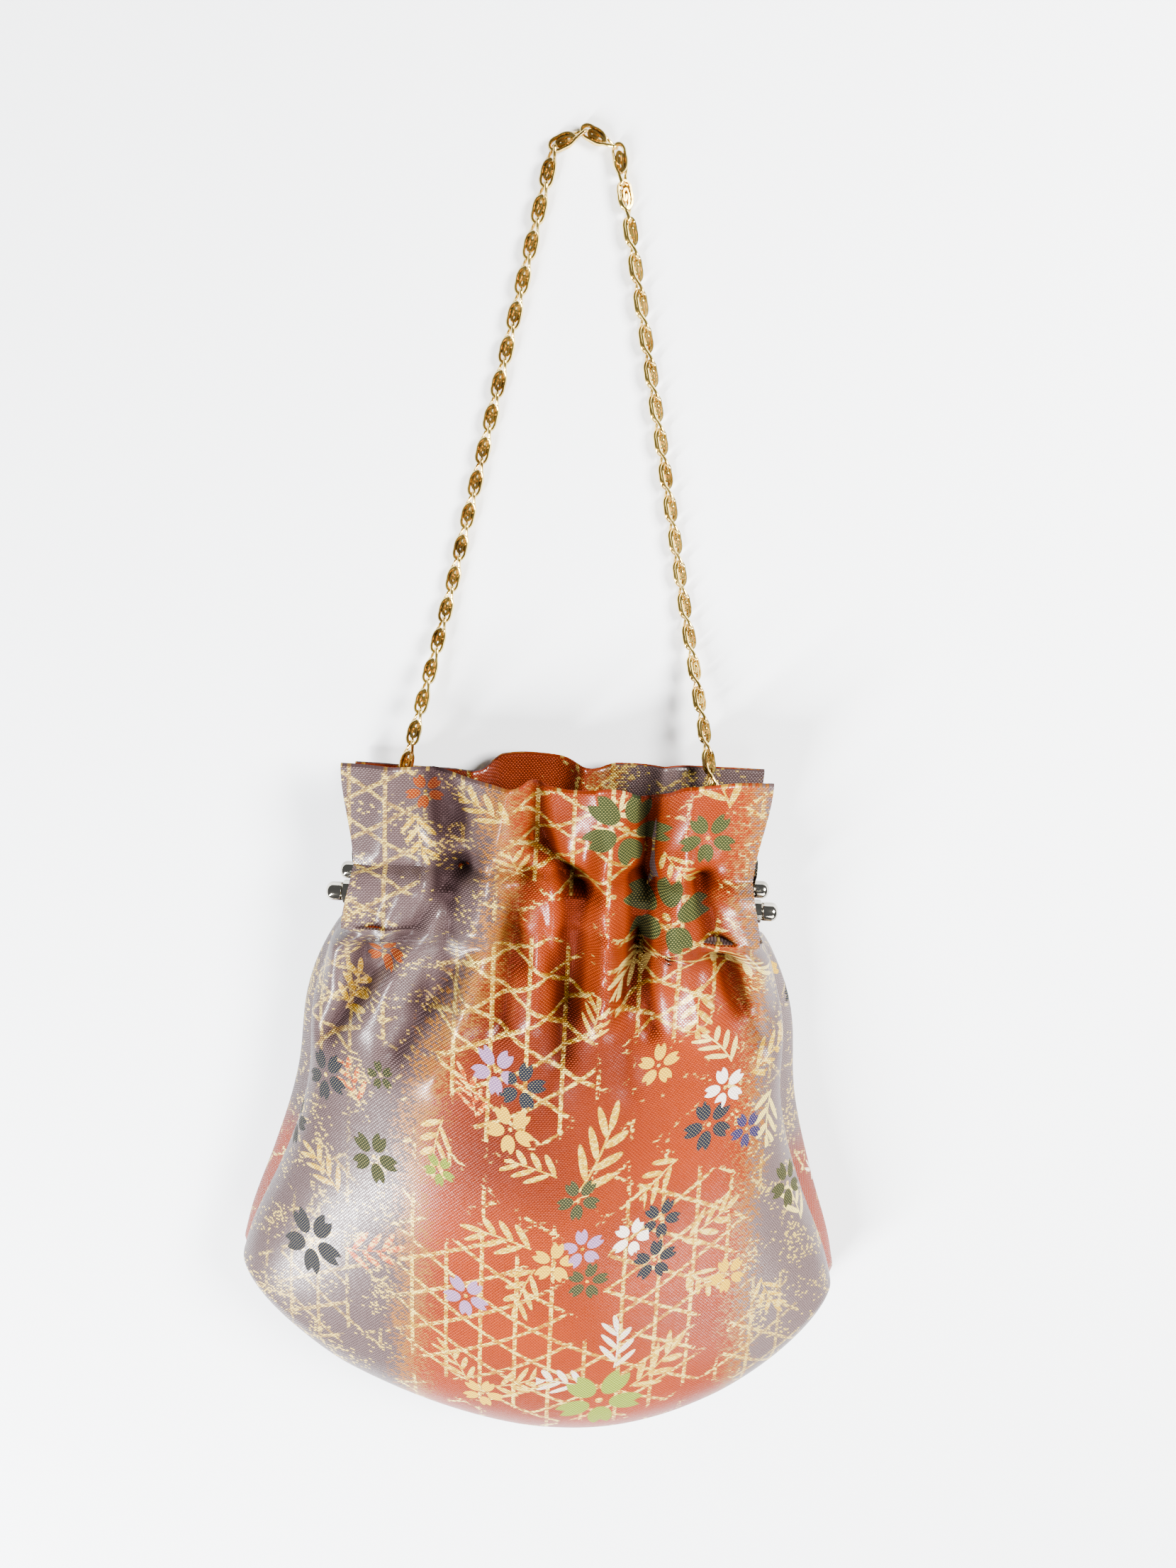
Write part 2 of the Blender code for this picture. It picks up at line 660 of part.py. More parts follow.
def half_chain():
    """Joints of the left half of the chain, from its ear to the middle of the top."""
    lean, _ = strand_lean()
    turn = (math.pi - 2 * lean) / (LINKS_ON_TOP + 1)
    ear_half_gap = CASING_HALF_WIDTH - EAR_REACH
    inside_x = (ear_half_gap - MOUTH_HALF_GAP) / (LINKS_INSIDE * LINK_PITCH)
    inside = math.asin(inside_x)
    mouth = Vector((-MOUTH_HALF_GAP, ROD_LEVEL + RIM_RISE - 0.003, CHAIN_LEVEL))
    step = Vector((math.sin(inside), math.cos(inside), 0)) * LINK_PITCH
    joints = [mouth - step * (LINKS_INSIDE - n) for n in range(LINKS_INSIDE + 1)]
    for n in range(LINKS_A_SIDE):
        share = DESCENT[n] / sum(DESCENT) if n < len(DESCENT) else 0.0
        fall = math.asin((CHAIN_LEVEL - CHAIN_ON_FLOOR) * share / LINK_PITCH)
        ahead = Vector((math.sin(lean), math.cos(lean), 0)) * math.cos(fall)
        joints.append(joints[-1] + Vector((ahead.x, ahead.y, -math.sin(fall))) * LINK_PITCH)
    for n in range(LINKS_ON_TOP // 2):
        angle = math.pi / 2 - lean - turn * (n + 1)
        joints.append(joints[-1] + Vector((math.cos(angle), math.sin(angle), 0)) * LINK_PITCH)
    return joints


def chain_joints():
    """Places where one link hooks the next, from the left ear over the top to the right."""
    left = half_chain()
    right = [Vector((-p.x, p.y, p.z)) for p in reversed(left[:-1])]
    return left + right


def ear_bar(hand):
    """Middle of the bar that the chain's end hooks on."""
    joints = chain_joints()
    if hand == LEFT:
        return joints[0]
    last = (joints[-1] - joints[-2]).normalized()
    return joints[-1] - last * (WIRE_RADIUS + EAR_BAR_RADIUS + LINK_SLACK)


def link_twist(number):
    """Turn of a link about its own length: flat on the left, on edge on the right."""
    turning = number - LINKS_INSIDE - LINKS_A_SIDE - LINKS_ON_TOP
    inside = turning - LINKS_A_SIDE + 1
    return min(max(turning, 0) * TWIST_STEP, TWIST_OUTSIDE) + max(inside, 0) * TWIST_INSIDE


def make_chain():
    mesh = link_mesh()
    joints = chain_joints()
    for number in range(len(joints) - 1):
        start, end = joints[number], joints[number + 1]
        along = (end - start).normalized()
        across = Vector((0, 0, 1)).cross(along).normalized()
        up = along.cross(across)
        frame = Matrix((along, across, up)).transposed().to_4x4()
        frame.translation = start
        twist = Matrix.Rotation(-link_twist(number), 4, "X")
        link = bpy.data.objects.new(f"chain_link_{number + 1:02d}", mesh)
        parts.objects.link(link)
        link.matrix_world = frame @ twist


def main():
    make_panel("front_panel", FRONT, FRONT_FOLDS, FRONT_COLUMNS)
    make_panel("back_panel", BACK, BACK_FOLDS, BACK_COLUMNS)
    make_lining()
    for side, word in ((FRONT, "front"), (BACK, "back")):
        make_rod(word + "_rod", side)
        make_nut(word + "_rod_nut", side)
        for hand, end in ((LEFT, "left"), (RIGHT, "right")):
            make_arm(f"{word}_arm_{end}", side, hand)
    for hand, end in ((LEFT, "left"), (RIGHT, "right")):
        make_pin("hinge_pin_" + end, hand)
    make_chain()


main()
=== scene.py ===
"""Looks of a small brocade evening bag on a scroll-link chain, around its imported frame.

Metres, +Z up. The bag lies on its back, with its mouth and chain towards +Y.
"""

import json
import math
import random

import bmesh
import bpy
import numpy as np
from mathutils import Matrix, Vector


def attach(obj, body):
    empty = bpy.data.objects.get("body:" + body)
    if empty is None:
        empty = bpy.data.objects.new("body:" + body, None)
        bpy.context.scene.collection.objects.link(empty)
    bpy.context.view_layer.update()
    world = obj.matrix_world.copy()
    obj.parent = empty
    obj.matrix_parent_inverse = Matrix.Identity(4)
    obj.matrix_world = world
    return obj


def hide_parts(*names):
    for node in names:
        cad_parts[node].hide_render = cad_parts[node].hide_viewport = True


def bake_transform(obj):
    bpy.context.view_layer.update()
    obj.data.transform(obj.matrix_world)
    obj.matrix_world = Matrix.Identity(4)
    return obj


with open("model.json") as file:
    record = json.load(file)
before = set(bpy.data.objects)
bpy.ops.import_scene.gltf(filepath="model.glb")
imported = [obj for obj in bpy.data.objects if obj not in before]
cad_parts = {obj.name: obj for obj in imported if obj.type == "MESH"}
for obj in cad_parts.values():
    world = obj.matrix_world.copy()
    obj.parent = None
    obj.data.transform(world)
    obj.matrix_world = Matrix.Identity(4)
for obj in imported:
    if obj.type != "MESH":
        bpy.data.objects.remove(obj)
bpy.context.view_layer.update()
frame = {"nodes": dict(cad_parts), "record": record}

MM = 0.001
TO_MM = 1000
FRONT, BACK = 1, -1

# Levels and outline of the bag, as in the frame's source
ROD_LEVEL = 0.080
RIM_RISE = 0.029
STITCH_OFFSET = 0.0065
BODY_DROP = 0.142
CASING_HALF_WIDTH = 0.0441
RUFFLE_FLARE = 0.0029
BODY_HALF_WIDTH = 0.0743
WIDEST_DROP = 0.096
CORNER_DROP = 0.113
BOTTOM_ACROSS_POWER = 1.7
BOTTOM_DOWN_POWER = 1.4
SEAM_LEVEL = 0.0125
FRONT_RISE = 0.0225
BACK_FALL = 0.0165
GATHERED_SHARE = 0.05
EDGE_SHARE = 0.15
FULL_SHARE = 0.55
ACROSS_CROWN_POWER = 0.40
DOWN_CROWN_POWERS = (5, 0.50)
SAG = 0.10
SHOULDERS = (
    (0.06, 0.11), (0.145, 0.29), (0.31, 0.48), (0.52, 0.58), (0.73, 0.76), (0.90, 0.93), (1.0, 1.0),
)
ROD_SPACING = 0.0150
ROD_RADIUS = 0.0015
RUFFLE_LIFT = 0.0022

# Side seams: how wide the back shows beside the front at the top, middle and bottom, how far
# the front hangs over, and how the two panels close below the casing
BACK_SHOWS = (0.0036, 0.0062, 0.0022)
FRONT_OVERHANG = 0.0006
NECK_SHARE = 0.24
NECK_SHARE_AT_SEAM = 0.04
CLOSING_POWER = 14
SLIT_HALF_GAP = 0.0009
SLIT_SHARES = (0.01, 0.04)

# Casing and ruffle: crest over the rod, spread of the cloth beside it, and room inside
CASING_CREST = 0.0126
CASING_SPREAD = 0.046
SPREAD_END = 0.026
RUFFLE_FOOT = 0.0007
RUFFLE_LEAST = 0.0026
ROOM_OVER_ROD = 0.0005
LEAST_BLEND = 0.0012

# How far the bottom seam rises from the frame's own curve, in mm, at places across in mm
BOTTOM_LIFT = (
    (-75, 0.6), (-66, 2.6), (-55, 4.6), (-40, 5.0), (-22, 4.2), (0, 2.6), (18, 0.8), (32, 0.6), (50, 1.6),
    (62, 1.2), (75, 0.4),
)

# Cloth thickness, the gap to the cloth turned inside, and how fine the cloth is
CLOTH = 0.0004
LINING_CLOTH = 0.0003
FACING_GAP = 0.0011
COLUMNS = 180
BODY_ROWS = 112
UPPER_ROWS = 58
FACING_ROWS = 48

# Chain: the spacing is the frame's own, but these wires are thicker and twist less outside
WIRE_RADIUS = 0.00036
LINK_PITCH = 0.00713
COIL_HALF_WIDTH = 0.00120
COIL_LENGTH = 0.0052
COIL_OFFSET = 0.00040
BEND_OFFSET = 0.00138
LINK_TAIL = -0.00085
LINKS_INSIDE = 3
LINKS_A_SIDE = 19
LINKS_ON_TOP = 2
MOUTH_HALF_GAP = 0.0347
EAR_HALF_GAP = 0.0432
CHAIN_LEVEL = 0.0105
CHAIN_ON_FLOOR = 0.0019
CHAIN_BELOW_RIM = 0.003
DESCENT = (1, 2, 3, 3, 2, 1)
TWIST_STEP = math.radians(20)
TWIST_OUTSIDE = math.radians(42)
TWIST_INSIDE = math.radians(6)


def placed(name, data):
    """A new object in the scene."""
    made = bpy.data.objects.new(name, data)
    bpy.context.scene.collection.objects.link(made)
    return made


# Camera

CAMERA_TILT = math.radians(14)
CAMERA_ROLL = math.radians(2.7)
CAMERA_TARGET = Vector((0.0067, 0.1063, 0.0160))
CAMERA_DISTANCE = 0.2605
LENS = 27.08
SENSOR_HEIGHT = 36


def place_camera():
    """The photograph's view: from above the mouth, leaning towards it, close to the bag."""
    back = Vector((0, math.sin(CAMERA_TILT), math.cos(CAMERA_TILT)))
    data = bpy.data.cameras.new("camera")
    data.sensor_fit = "VERTICAL"
    data.sensor_height = SENSOR_HEIGHT
    data.lens = LENS
    camera = placed("camera", data)
    up = Vector((-math.sin(CAMERA_ROLL), math.cos(CAMERA_ROLL), 0))
    right = up.cross(back).normalized()
    up = back.cross(right)
    turn = Matrix((right, up, back)).transposed().to_4x4()
    turn.translation = CAMERA_TARGET + back * CAMERA_DISTANCE
    camera.matrix_world = turn
    bpy.context.scene.camera = camera


place_camera()


# Light and backdrop

SKY = (0.93, 0.95, 1.0, 1)
SKY_STRENGTH = 0.20

# Name, place, aim, width and height in metres, power in watts, colour
LIGHTS = (
    ("window", (-0.42, -0.34, 0.52), (-0.02, 0.04, 0.02), 0.06, 0.50, 37.0, (1, 1, 1)),
    ("daylight", (0.44, 0.30, 0.50), (0.02, 0.05, 0), 0.26, 0.26, 25.0, (1.0, 0.98, 0.95)),
    ("fill", (0.36, -0.46, 0.55), (0.03, 0.03, 0.03), 0.40, 0.40, 7.0, (1.0, 0.97, 0.93)),
)


def area_light(name, place, aim, width, height, power, colour):
    data = bpy.data.lights.new(name, "AREA")
    data.shape = "RECTANGLE"
    data.size = width
    data.size_y = height
    data.energy = power
    data.color = colour
    light = placed(name, data)
    light.location = place
    light.rotation_euler = (Vector(aim) - Vector(place)).to_track_quat("-Z", "Y").to_euler()


def light_scene():
    world = bpy.data.worlds.new("studio")
    bpy.context.scene.world = world
    world.use_nodes = True
    background = world.node_tree.nodes["Background"]
    background.inputs["Color"].default_value = SKY
    background.inputs["Strength"].default_value = SKY_STRENGTH
    for row in LIGHTS:
        area_light(*row)


light_scene()


# Materials

def linear(level):
    """Linear share of a screen level given from 0 to 255."""
    return ((level / 255 + 0.055) / 1.055) ** 2.4 if level > 10 else level / 255 / 12.92


def srgb(red, green, blue):
    return linear(red), linear(green), linear(blue)


def maths(operation):
    """A method that adds one Math node."""
    def method(self, *others):
        return self.finish.node("ShaderNodeMath", {"operation": operation}, 0, [self, *others])
    return method


class Value:
    """A number or vector in a material; Python's operators on it add Math nodes."""

    def __init__(self, finish, socket):
        self.finish = finish
        self.socket = socket

    __add__ = __radd__ = maths("ADD")
    __sub__ = maths("SUBTRACT")
    __mul__ = __rmul__ = maths("MULTIPLY")
    __truediv__ = maths("DIVIDE")
    __gt__ = maths("GREATER_THAN")
    __lt__ = maths("LESS_THAN")
    abs = maths("ABSOLUTE")
    fraction = maths("FRACT")
    floor = maths("FLOOR")
    sine = maths("SINE")
    cosine = maths("COSINE")
    arctan2 = maths("ARCTAN2")
    power = maths("POWER")
    least = maths("MINIMUM")
    most = maths("MAXIMUM")

    def __neg__(self):
        return self * -1.0

    def __rsub__(self, other):
        return self.finish.node("ShaderNodeMath", {"operation": "SUBTRACT"}, 0, [other, self])

    def ramp(self, low, high, kind="LINEAR"):
        """0 below low, 1 above high and straight between them."""
        inputs = {"Value": self, "From Min": low, "From Max": high, "To Min": 0.0, "To Max": 1.0}
        return self.finish.node("ShaderNodeMapRange", {"interpolation_type": kind}, 0, inputs)

    def soft(self, low, high):
        """As ramp, but eased at both ends."""
        return self.ramp(low, high, "SMOOTHSTEP")


class Finish:
    """A material under construction."""

    def __init__(self, name, colour, roughness, metallic=0.0):
        self.material = bpy.data.materials.new(name)
        self.material.use_nodes = True
        self.tree = self.material.node_tree
        self.shader = self.tree.nodes["Principled BSDF"]
        self.set("Base Color", (*colour, 1))
        self.set("Roughness", roughness)
        self.set("Metallic", metallic)

    def set(self, socket, value):
        self.shader.inputs[socket].default_value = value

    def feed(self, socket, value):
        self.tree.links.new(value.socket, self.shader.inputs[socket])

    def node(self, kind, settings, output, inputs):
        """Adds one node; inputs are values or sockets, in order or by name."""
        made = self.tree.nodes.new(kind)
        for name, value in settings.items():
            setattr(made, name, value)
        pairs = inputs.items() if isinstance(inputs, dict) else enumerate(inputs)
        for key, value in pairs:
            socket = made.inputs[key]
            if isinstance(value, Value):
                self.tree.links.new(value.socket, socket)
            else:
                socket.default_value = value
        return Value(self, made.outputs[output])

    def attribute(self, name, output="Fac"):
        return self.node("ShaderNodeAttribute", {"attribute_name": name}, output, [])

    def parts(self, vector):
        made = self.tree.nodes.new("ShaderNodeSeparateXYZ")
        self.tree.links.new(vector.socket, made.inputs[0])
        return [Value(self, socket) for socket in made.outputs]

    def mix(self, share, first, second, kind="MIX"):
        """Mixes two colours; either may be a tuple."""
        first = (*first, 1) if isinstance(first, tuple) else first
        second = (*second, 1) if isinstance(second, tuple) else second
        settings = {"data_type": "RGBA", "blend_type": kind}
        return self.node("ShaderNodeMix", settings, 2, {0: share, 6: first, 7: second})

    def noise(self, vector, scale, detail):
        inputs = {"Vector": vector, "Scale": scale, "Detail": detail, "Roughness": 0.5}
        return self.node("ShaderNodeTexNoise", {}, 0, inputs)

    def bump(self, height, distance):
        inputs = {"Height": height, "Distance": distance, "Strength": 1.0}
        self.feed("Normal", self.node("ShaderNodeBump", {}, 0, inputs))


LILAC = srgb(88, 72, 72)
PALE_LILAC = srgb(104, 88, 87)
BEIGE = srgb(150, 108, 46)
ORANGE = srgb(146, 52, 9)
DEEP_ORANGE = srgb(98, 31, 7)
GOLD_THREAD = srgb(206, 164, 34)
PALE_GOLD = srgb(244, 222, 120)
NAVY = srgb(10, 22, 46)
PURPLE = srgb(34, 28, 80)
GREEN = srgb(40, 52, 26)
GREY_GREEN = srgb(38, 46, 32)
LIME = srgb(112, 132, 40)
LILAC_PETAL = srgb(144, 112, 156)
WHITE = srgb(238, 228, 218)
LEAF_ORANGE = srgb(180, 78, 16)
RUST = srgb(128, 46, 10)
SATIN = srgb(190, 96, 66)
SATIN_DARK = srgb(170, 80, 54)
SATIN_LIGHT = srgb(206, 116, 84)
NICKEL = srgb(176, 172, 160)
NICKEL_TINT = srgb(140, 136, 126)
GOLD = srgb(238, 208, 122)
GOLD_TINT = srgb(196, 160, 84)
BACKDROP = srgb(231, 234, 238)

# Painted shade: what the ground is multiplied by between the beads of the weave and on the cloth turned
# inside, and deep in the folds
PAINTED_SHADE = (0.30, 0.24, 0.24)
PAINTED_FOLD_SHADE = (0.26, 0.20, 0.22)

# Size of one bead of the satin weave, in mm, and how steeply it rounds off
BEAD_WIDTH = 0.74
BEAD_HEIGHT = 0.42
BEAD_STEEP_ACROSS = 4.6
BEAD_STEEP_DOWN = 3.6


def ellipse(x, y, half_x, half_y):
    """One at its edge, less within and more outside."""
    return (x / half_x).power(2.0) + (y / half_y).power(2.0)


def petals(finish, place):
    """Five notched petals within a circle of radius one, and the small eye between them."""
    sector = math.radians(72)
    middle, half_length, half_width = 0.60, 0.39, 0.265
    notch_root, notch_slope = 0.79, 1.2
    eye_radius = 0.09
    x, y, _ = finish.parts(place)
    radius = (x * x + y * y).power(0.5)
    turn = y.arctan2(x) / sector
    off = ((turn + 10).fraction() - 0.5) * sector
    along = radius * off.cosine()
    across = (radius * off.sine()).abs()
    oval = ellipse(along - middle, across, half_length, half_width)
    notch = along - across * notch_slope - notch_root
    inside = (1 - oval).ramp(0.0, 0.12) * (-notch).ramp(0.0, 0.05)
    eye = (eye_radius - radius).ramp(0.0, 0.03)
    return inside, eye


def leaves(finish, place):
    """A bent stem with slim leaves in pairs, from the origin to a radius of one."""
    stem_bend, stem_half_width, stem_end = 0.22, 0.018, 0.8
    lean = math.radians(42)
    period = 0.25
    longest, shortening, half_width = 0.46, 0.18, 0.050
    tip_centre, tip_half_length = 0.86, 0.16
    x, y, _ = finish.parts(place)
    bent = x + y * y * stem_bend
    beside = bent.abs()
    stagger = (bent > 0) * period * 0.4
    start = y - beside * math.cos(lean) / math.sin(lean) + stagger
    number = (start / period).floor()
    root = (number + 0.5) * period
    off = (start - root) * math.sin(lean)
    along = beside * math.sin(lean) + (y - root + stagger) * math.cos(lean)
    reach = longest - root * shortening
    oval = (along / reach * 2 - 1).power(2.0) + (off / half_width).power(2.0)
    pairs = (1 - oval).ramp(0.0, 0.25) * (root > 0.05) * (root < stem_end)
    tip = 1 - ellipse(bent, y - tip_centre, half_width, tip_half_length)
    stem = (stem_half_width - beside).ramp(0.0, 0.01) * (y > 0.0) * (y < stem_end)
    return pairs.most(tip.ramp(0.0, 0.25)).most(stem)


def kagome(x, y, spacing, half_width):
    """Three families of parallel threads that cross as in a woven basket."""
    # Half a cell, on top of whole cells that keep the value above zero
    half_cell = 100.5
    edge = 0.12
    rise = y * math.sin(math.radians(60))
    across = x / spacing
    rising = (x * 0.5 + rise) / spacing + half_cell
    falling = (rise - x * 0.5) / spacing + half_cell
    lines = [(family.fraction() - 0.5).abs() for family in (across, rising, falling)]
    nearest = lines[0].least(lines[1]).least(lines[2]) * spacing
    return (half_width - nearest).ramp(-edge, edge)


# Spacing and half width of the lattice's threads in mm, and its patches on the front: place in
# the cloth and half sizes, all in mm
LATTICE_SPACING = 8.2
THREAD_HALF_WIDTH = 0.42
LATTICE_PATCHES = (
    (-6, 62, 21, 26), (28, 48, 16, 20), (32, 118, 17, 24), (-14, 132, 22, 22), (14, 150, 30, 16),
    (-40, 16, 12, 26), (4, 14, 16, 16), (-55, 140, 12, 20), (58, 150, 12, 20), (-52, 66, 12, 16),
)

# Stripes on the front, in mm across: each edge at the rim and how far it moves out lower down
LEFT_EDGE, LEFT_SPREAD = -14.0, 18.0
RIGHT_EDGE, RIGHT_SPREAD = 44.5, 7.0
SPREAD_BETWEEN = (30.0, 95.0)
INSIDE_EDGES = (-60.0, 13.0)
DITHER = 7.0

# The back's lower corners, beyond these places across and down, are orange
ORANGE_CORNER = (60, 105)

# Patch of painted shade that darkens the middle of the orange stripe: place and half sizes, in mm
SHADED_MIDDLE_PLACE = (-4, 74)
SHADED_MIDDLE_HALF_SIZES = (26, 34)


def weave(finish, x, y):
    """Rows of small satin beads, each row set off by half a bead, and a chance value for each."""
    row = (y / BEAD_HEIGHT).floor()
    shift = (row * 0.5).fraction()
    bead_x = (x / BEAD_WIDTH + shift).fraction() - 0.5
    bead_y = (y / BEAD_HEIGHT).fraction() - 0.5
    round_off = bead_x * bead_x * BEAD_STEEP_ACROSS + bead_y * bead_y * BEAD_STEEP_DOWN
    number = (x / BEAD_WIDTH + shift).floor()
    cell = finish.node("ShaderNodeCombineXYZ", {}, 0, [number, row])
    grain = finish.node("ShaderNodeTexWhiteNoise", {}, 0, {"Vector": cell})
    return (1 - round_off).most(0.0), grain


def stripes(finish, place, grain):
    """The ground's stripes, each dithered into the next by the weave, and where it is lilac."""
    x, y, layer = finish.parts(place)
    inner = (layer - 1).abs() < 0.5
    behind = layer > 1.5
    widen = y.soft(*SPREAD_BETWEEN)
    drift = x + (finish.noise(place, 0.055, 2.0) - 0.5) * DITHER + (grain - 0.5) * DITHER
    left_edge = inner * INSIDE_EDGES[0] + (1 - inner) * (LEFT_EDGE - widen * LEFT_SPREAD)
    right_edge = inner * INSIDE_EDGES[1] + (1 - inner) * (RIGHT_EDGE + widen * RIGHT_SPREAD)
    corner_x, corner_y = ORANGE_CORNER
    plain = 1 - behind * (x.abs() - corner_x).ramp(-1.5, 1.5) * (y - corner_y).ramp(-4.0, 4.0)
    left = (left_edge - drift).ramp(-1.5, 1.5) * plain
    right = (drift - right_edge).ramp(-1.5, 1.5) * plain
    # Painted shade over the middle of the orange stripe
    painted_middle_shade = (1 - ellipse(x - SHADED_MIDDLE_PLACE[0], y - SHADED_MIDDLE_PLACE[1], *SHADED_MIDDLE_HALF_SIZES)).soft(-0.3, 0.9)
    patchy = finish.noise(place, 0.035, 1.0).soft(0.30, 0.70)
    ground = finish.mix(patchy * 0.35 + 0.6 - painted_middle_shade * 0.6, DEEP_ORANGE, ORANGE)
    near_left = (8 - (drift - left_edge).abs()).ramp(0.0, 5.0) * plain
    near_right = (6 - (drift - right_edge).abs()).ramp(0.0, 4.0) * plain
    for share, shade in (
        (near_left * 0.7, BEIGE), (near_right * 0.7, BEIGE), (left, LILAC), (right, PALE_LILAC),
    ):
        ground = finish.mix(share, ground, shade)
    return ground, left.most(right), inner


def gold_lattice(finish, place, grain):
    """The lattice, held within its patches and broken up by the weave."""
    x, y, _ = finish.parts(place)
    patches = 0.0
    for centre_x, centre_y, half_x, half_y in LATTICE_PATCHES:
        patches = (1 - ellipse(x - centre_x, y - centre_y, half_x, half_y)).most(patches)
    ragged = (finish.noise(place, 0.12, 1.0) - 0.5) * 1.2 + (grain - 0.5) * 0.2
    held = (patches + ragged).ramp(0.10, 0.20)
    thread = (grain * 1.2 + 0.2).least(1.0)
    return kagome(x, y, LATTICE_SPACING, THREAD_HALF_WIDTH) * held * thread


def brocade_finish():
    """Silk brocade: dithered lilac and orange stripes, a gold lattice, blossoms and leaves."""
    finish = Finish("brocade", ORANGE, 0.42, 0.1)
    place = finish.attribute("cloth", "Vector")
    x, y, _ = finish.parts(place)
    bead, grain = weave(finish, x, y)
    ground, on_lilac, inner = stripes(finish, place, grain)

    # Gold lattice, and loose gold in the lilac
    gold = gold_lattice(finish, place, grain) * (1 - on_lilac * 0.45)
    colour = finish.mix(gold, ground, GOLD_THREAD)
    flecks = ((finish.noise(place, 0.10, 1.0) + (grain - 0.5) * 0.7) > 0.83) * on_lilac
    colour = finish.mix(flecks * 0.6, colour, GOLD_THREAD)
    gold = gold.most(flecks * 0.5)

    # Leaves, then blossoms over them
    leaf = leaves(finish, finish.attribute("sprig", "Vector")) * (grain + 0.75).least(1.0)
    colour = finish.mix(leaf, colour, finish.attribute("sprig_colour", "Color"))
    gold = gold.most(leaf * 0.7)
    petal, eye = petals(finish, finish.attribute("blossom", "Vector"))
    petal_colour = finish.attribute("blossom_colour", "Color")
    # Petals paler on each bead's crown: painted highlight
    colour = finish.mix(petal, colour, finish.mix(bead.power(3.0) * 0.16, petal_colour, PALE_GOLD))
    colour = finish.mix(eye, colour, GOLD_THREAD)
    gold = (gold * (1 - petal)).most(eye)

    # Painted glints on the metal thread, painted shade between the beads and in the folds, and painted
    # shade (less light) on the cloth turned inside
    fold_shade = finish.attribute("fold_shade")
    # Painted glints: paler gold on some beads of the metal thread
    colour = finish.mix(gold * (grain > 0.5) * 0.8, colour, PALE_GOLD)
    # Painted shade between the beads of the weave
    colour = finish.mix((1 - bead).power(1.6) * 0.75, colour, PAINTED_SHADE, "MULTIPLY")
    # Painted shade deep in the folds
    colour = finish.mix(fold_shade.soft(0.05, 1.0) * 0.9, colour, PAINTED_FOLD_SHADE, "MULTIPLY")
    # Painted shade on the cloth turned inside
    colour = finish.mix(inner * 0.5, colour, PAINTED_SHADE, "MULTIPLY")
    satin_sheen = bead.power(1.6) * (0.30 + grain * 0.60)
    finish.feed("Base Color", colour)
    finish.feed("Metallic", gold * 0.35 + (1 - petal) * 0.30)
    finish.feed("Roughness", 0.40 - gold * 0.08 + petal * 0.2 + (grain - 0.5) * 0.12)
    finish.feed("Coat Weight", (1 - petal) * (1 - fold_shade.soft(0.1, 0.7)) * satin_sheen)
    finish.set("Coat Roughness", 0.27)
    finish.set("Coat IOR", 1.9)
    finish.set("Specular IOR Level", 0.05)
    finish.bump(bead * 0.8 + gold * 0.5 + petal * 0.3, 0.00018)
    return finish.material


def satin_finish():
    """Plain satin of the lining."""
    thread_across, thread_down = 0.20, 0.24
    finish = Finish("lining_satin", SATIN, 0.5)
    place = finish.attribute("cloth", "Vector")
    x, y, _ = finish.parts(place)
    threads = (x * (math.pi / thread_across)).sine() * (y * (math.pi / thread_down)).sine()
    shade = finish.noise(place, 0.08, 2.0)
    finish.feed("Base Color", finish.mix(shade, SATIN_DARK, SATIN_LIGHT))
    finish.feed("Roughness", 0.48 + threads * 0.06)
    finish.bump(threads, 0.00004)
    return finish.material


def metal_finish(name, colour, roughness, tint):
    """Polished plating with a faint haze and a darker tone in random patches."""
    finish = Finish(name, colour, roughness, 1.0)
    place = finish.node("ShaderNodeTexCoord", {}, "Object", [])
    haze = finish.noise(place, 900.0, 3.0)
    tone = finish.noise(place, 160.0, 2.0)
    finish.feed("Base Color", finish.mix(tone.soft(0.45, 0.75), colour, tint))
    finish.feed("Roughness", haze * 0.12 + (roughness - 0.05))
    finish.bump(haze, 0.00001)
    return finish.material


brocade = brocade_finish()
satin = satin_finish()
nickel = metal_finish("dark_nickel", NICKEL, 0.09, NICKEL_TINT)
gold_plate = metal_finish("gold_plate", GOLD, 0.13, GOLD_TINT)


# Making pieces

def add_piece(name, mesh, material, body, slot_name, *replaced):
    piece = placed(name, mesh)
    mesh.materials.clear()
    mesh.materials.append(material)
    if replaced:
        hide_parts(*replaced)
    if body:
        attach(piece, body)
    return piece


def evaluated_mesh(piece):
    graph = bpy.context.evaluated_depsgraph_get()
    graph.update()
    return bpy.data.meshes.new_from_object(piece.evaluated_get(graph))


# Angles above which an edge stays sharp, in degrees
SHARP_SOFT = 60
SHARP_TURNED = 35


def shade_smooth(mesh, degrees):
    mesh.shade_smooth()
    mesh.set_sharp_from_angle(angle=math.radians(degrees))


def thicken(piece, thickness):
    """Gives a sheet its thickness, inwards from its outer side."""
    wall = piece.modifiers.new("cloth", "SOLIDIFY")
    wall.thickness = thickness
    wall.offset = -1
    mesh = evaluated_mesh(piece)
    old = piece.data
    piece.modifiers.clear()
    piece.data = mesh
    bpy.data.meshes.remove(old)
    shade_smooth(mesh, SHARP_SOFT)


def finished(bm, name):
    mesh = bpy.data.meshes.new(name)
    bm.to_mesh(mesh)
    bm.free()
    return mesh


# Shape of the cloth

def step(low, high, value):
    t = np.clip((value - low) / (high - low), 0.0, 1.0)
    return t * t * (3 - 2 * t)


def mix(a, b, share):
    return a + (b - a) * share


def soft_most(a, b, blend):
    """The larger of two, rounded off where they cross."""
    near = np.maximum(blend - np.abs(a - b), 0.0) / blend
    return np.maximum(a, b) + near * near * blend / 4


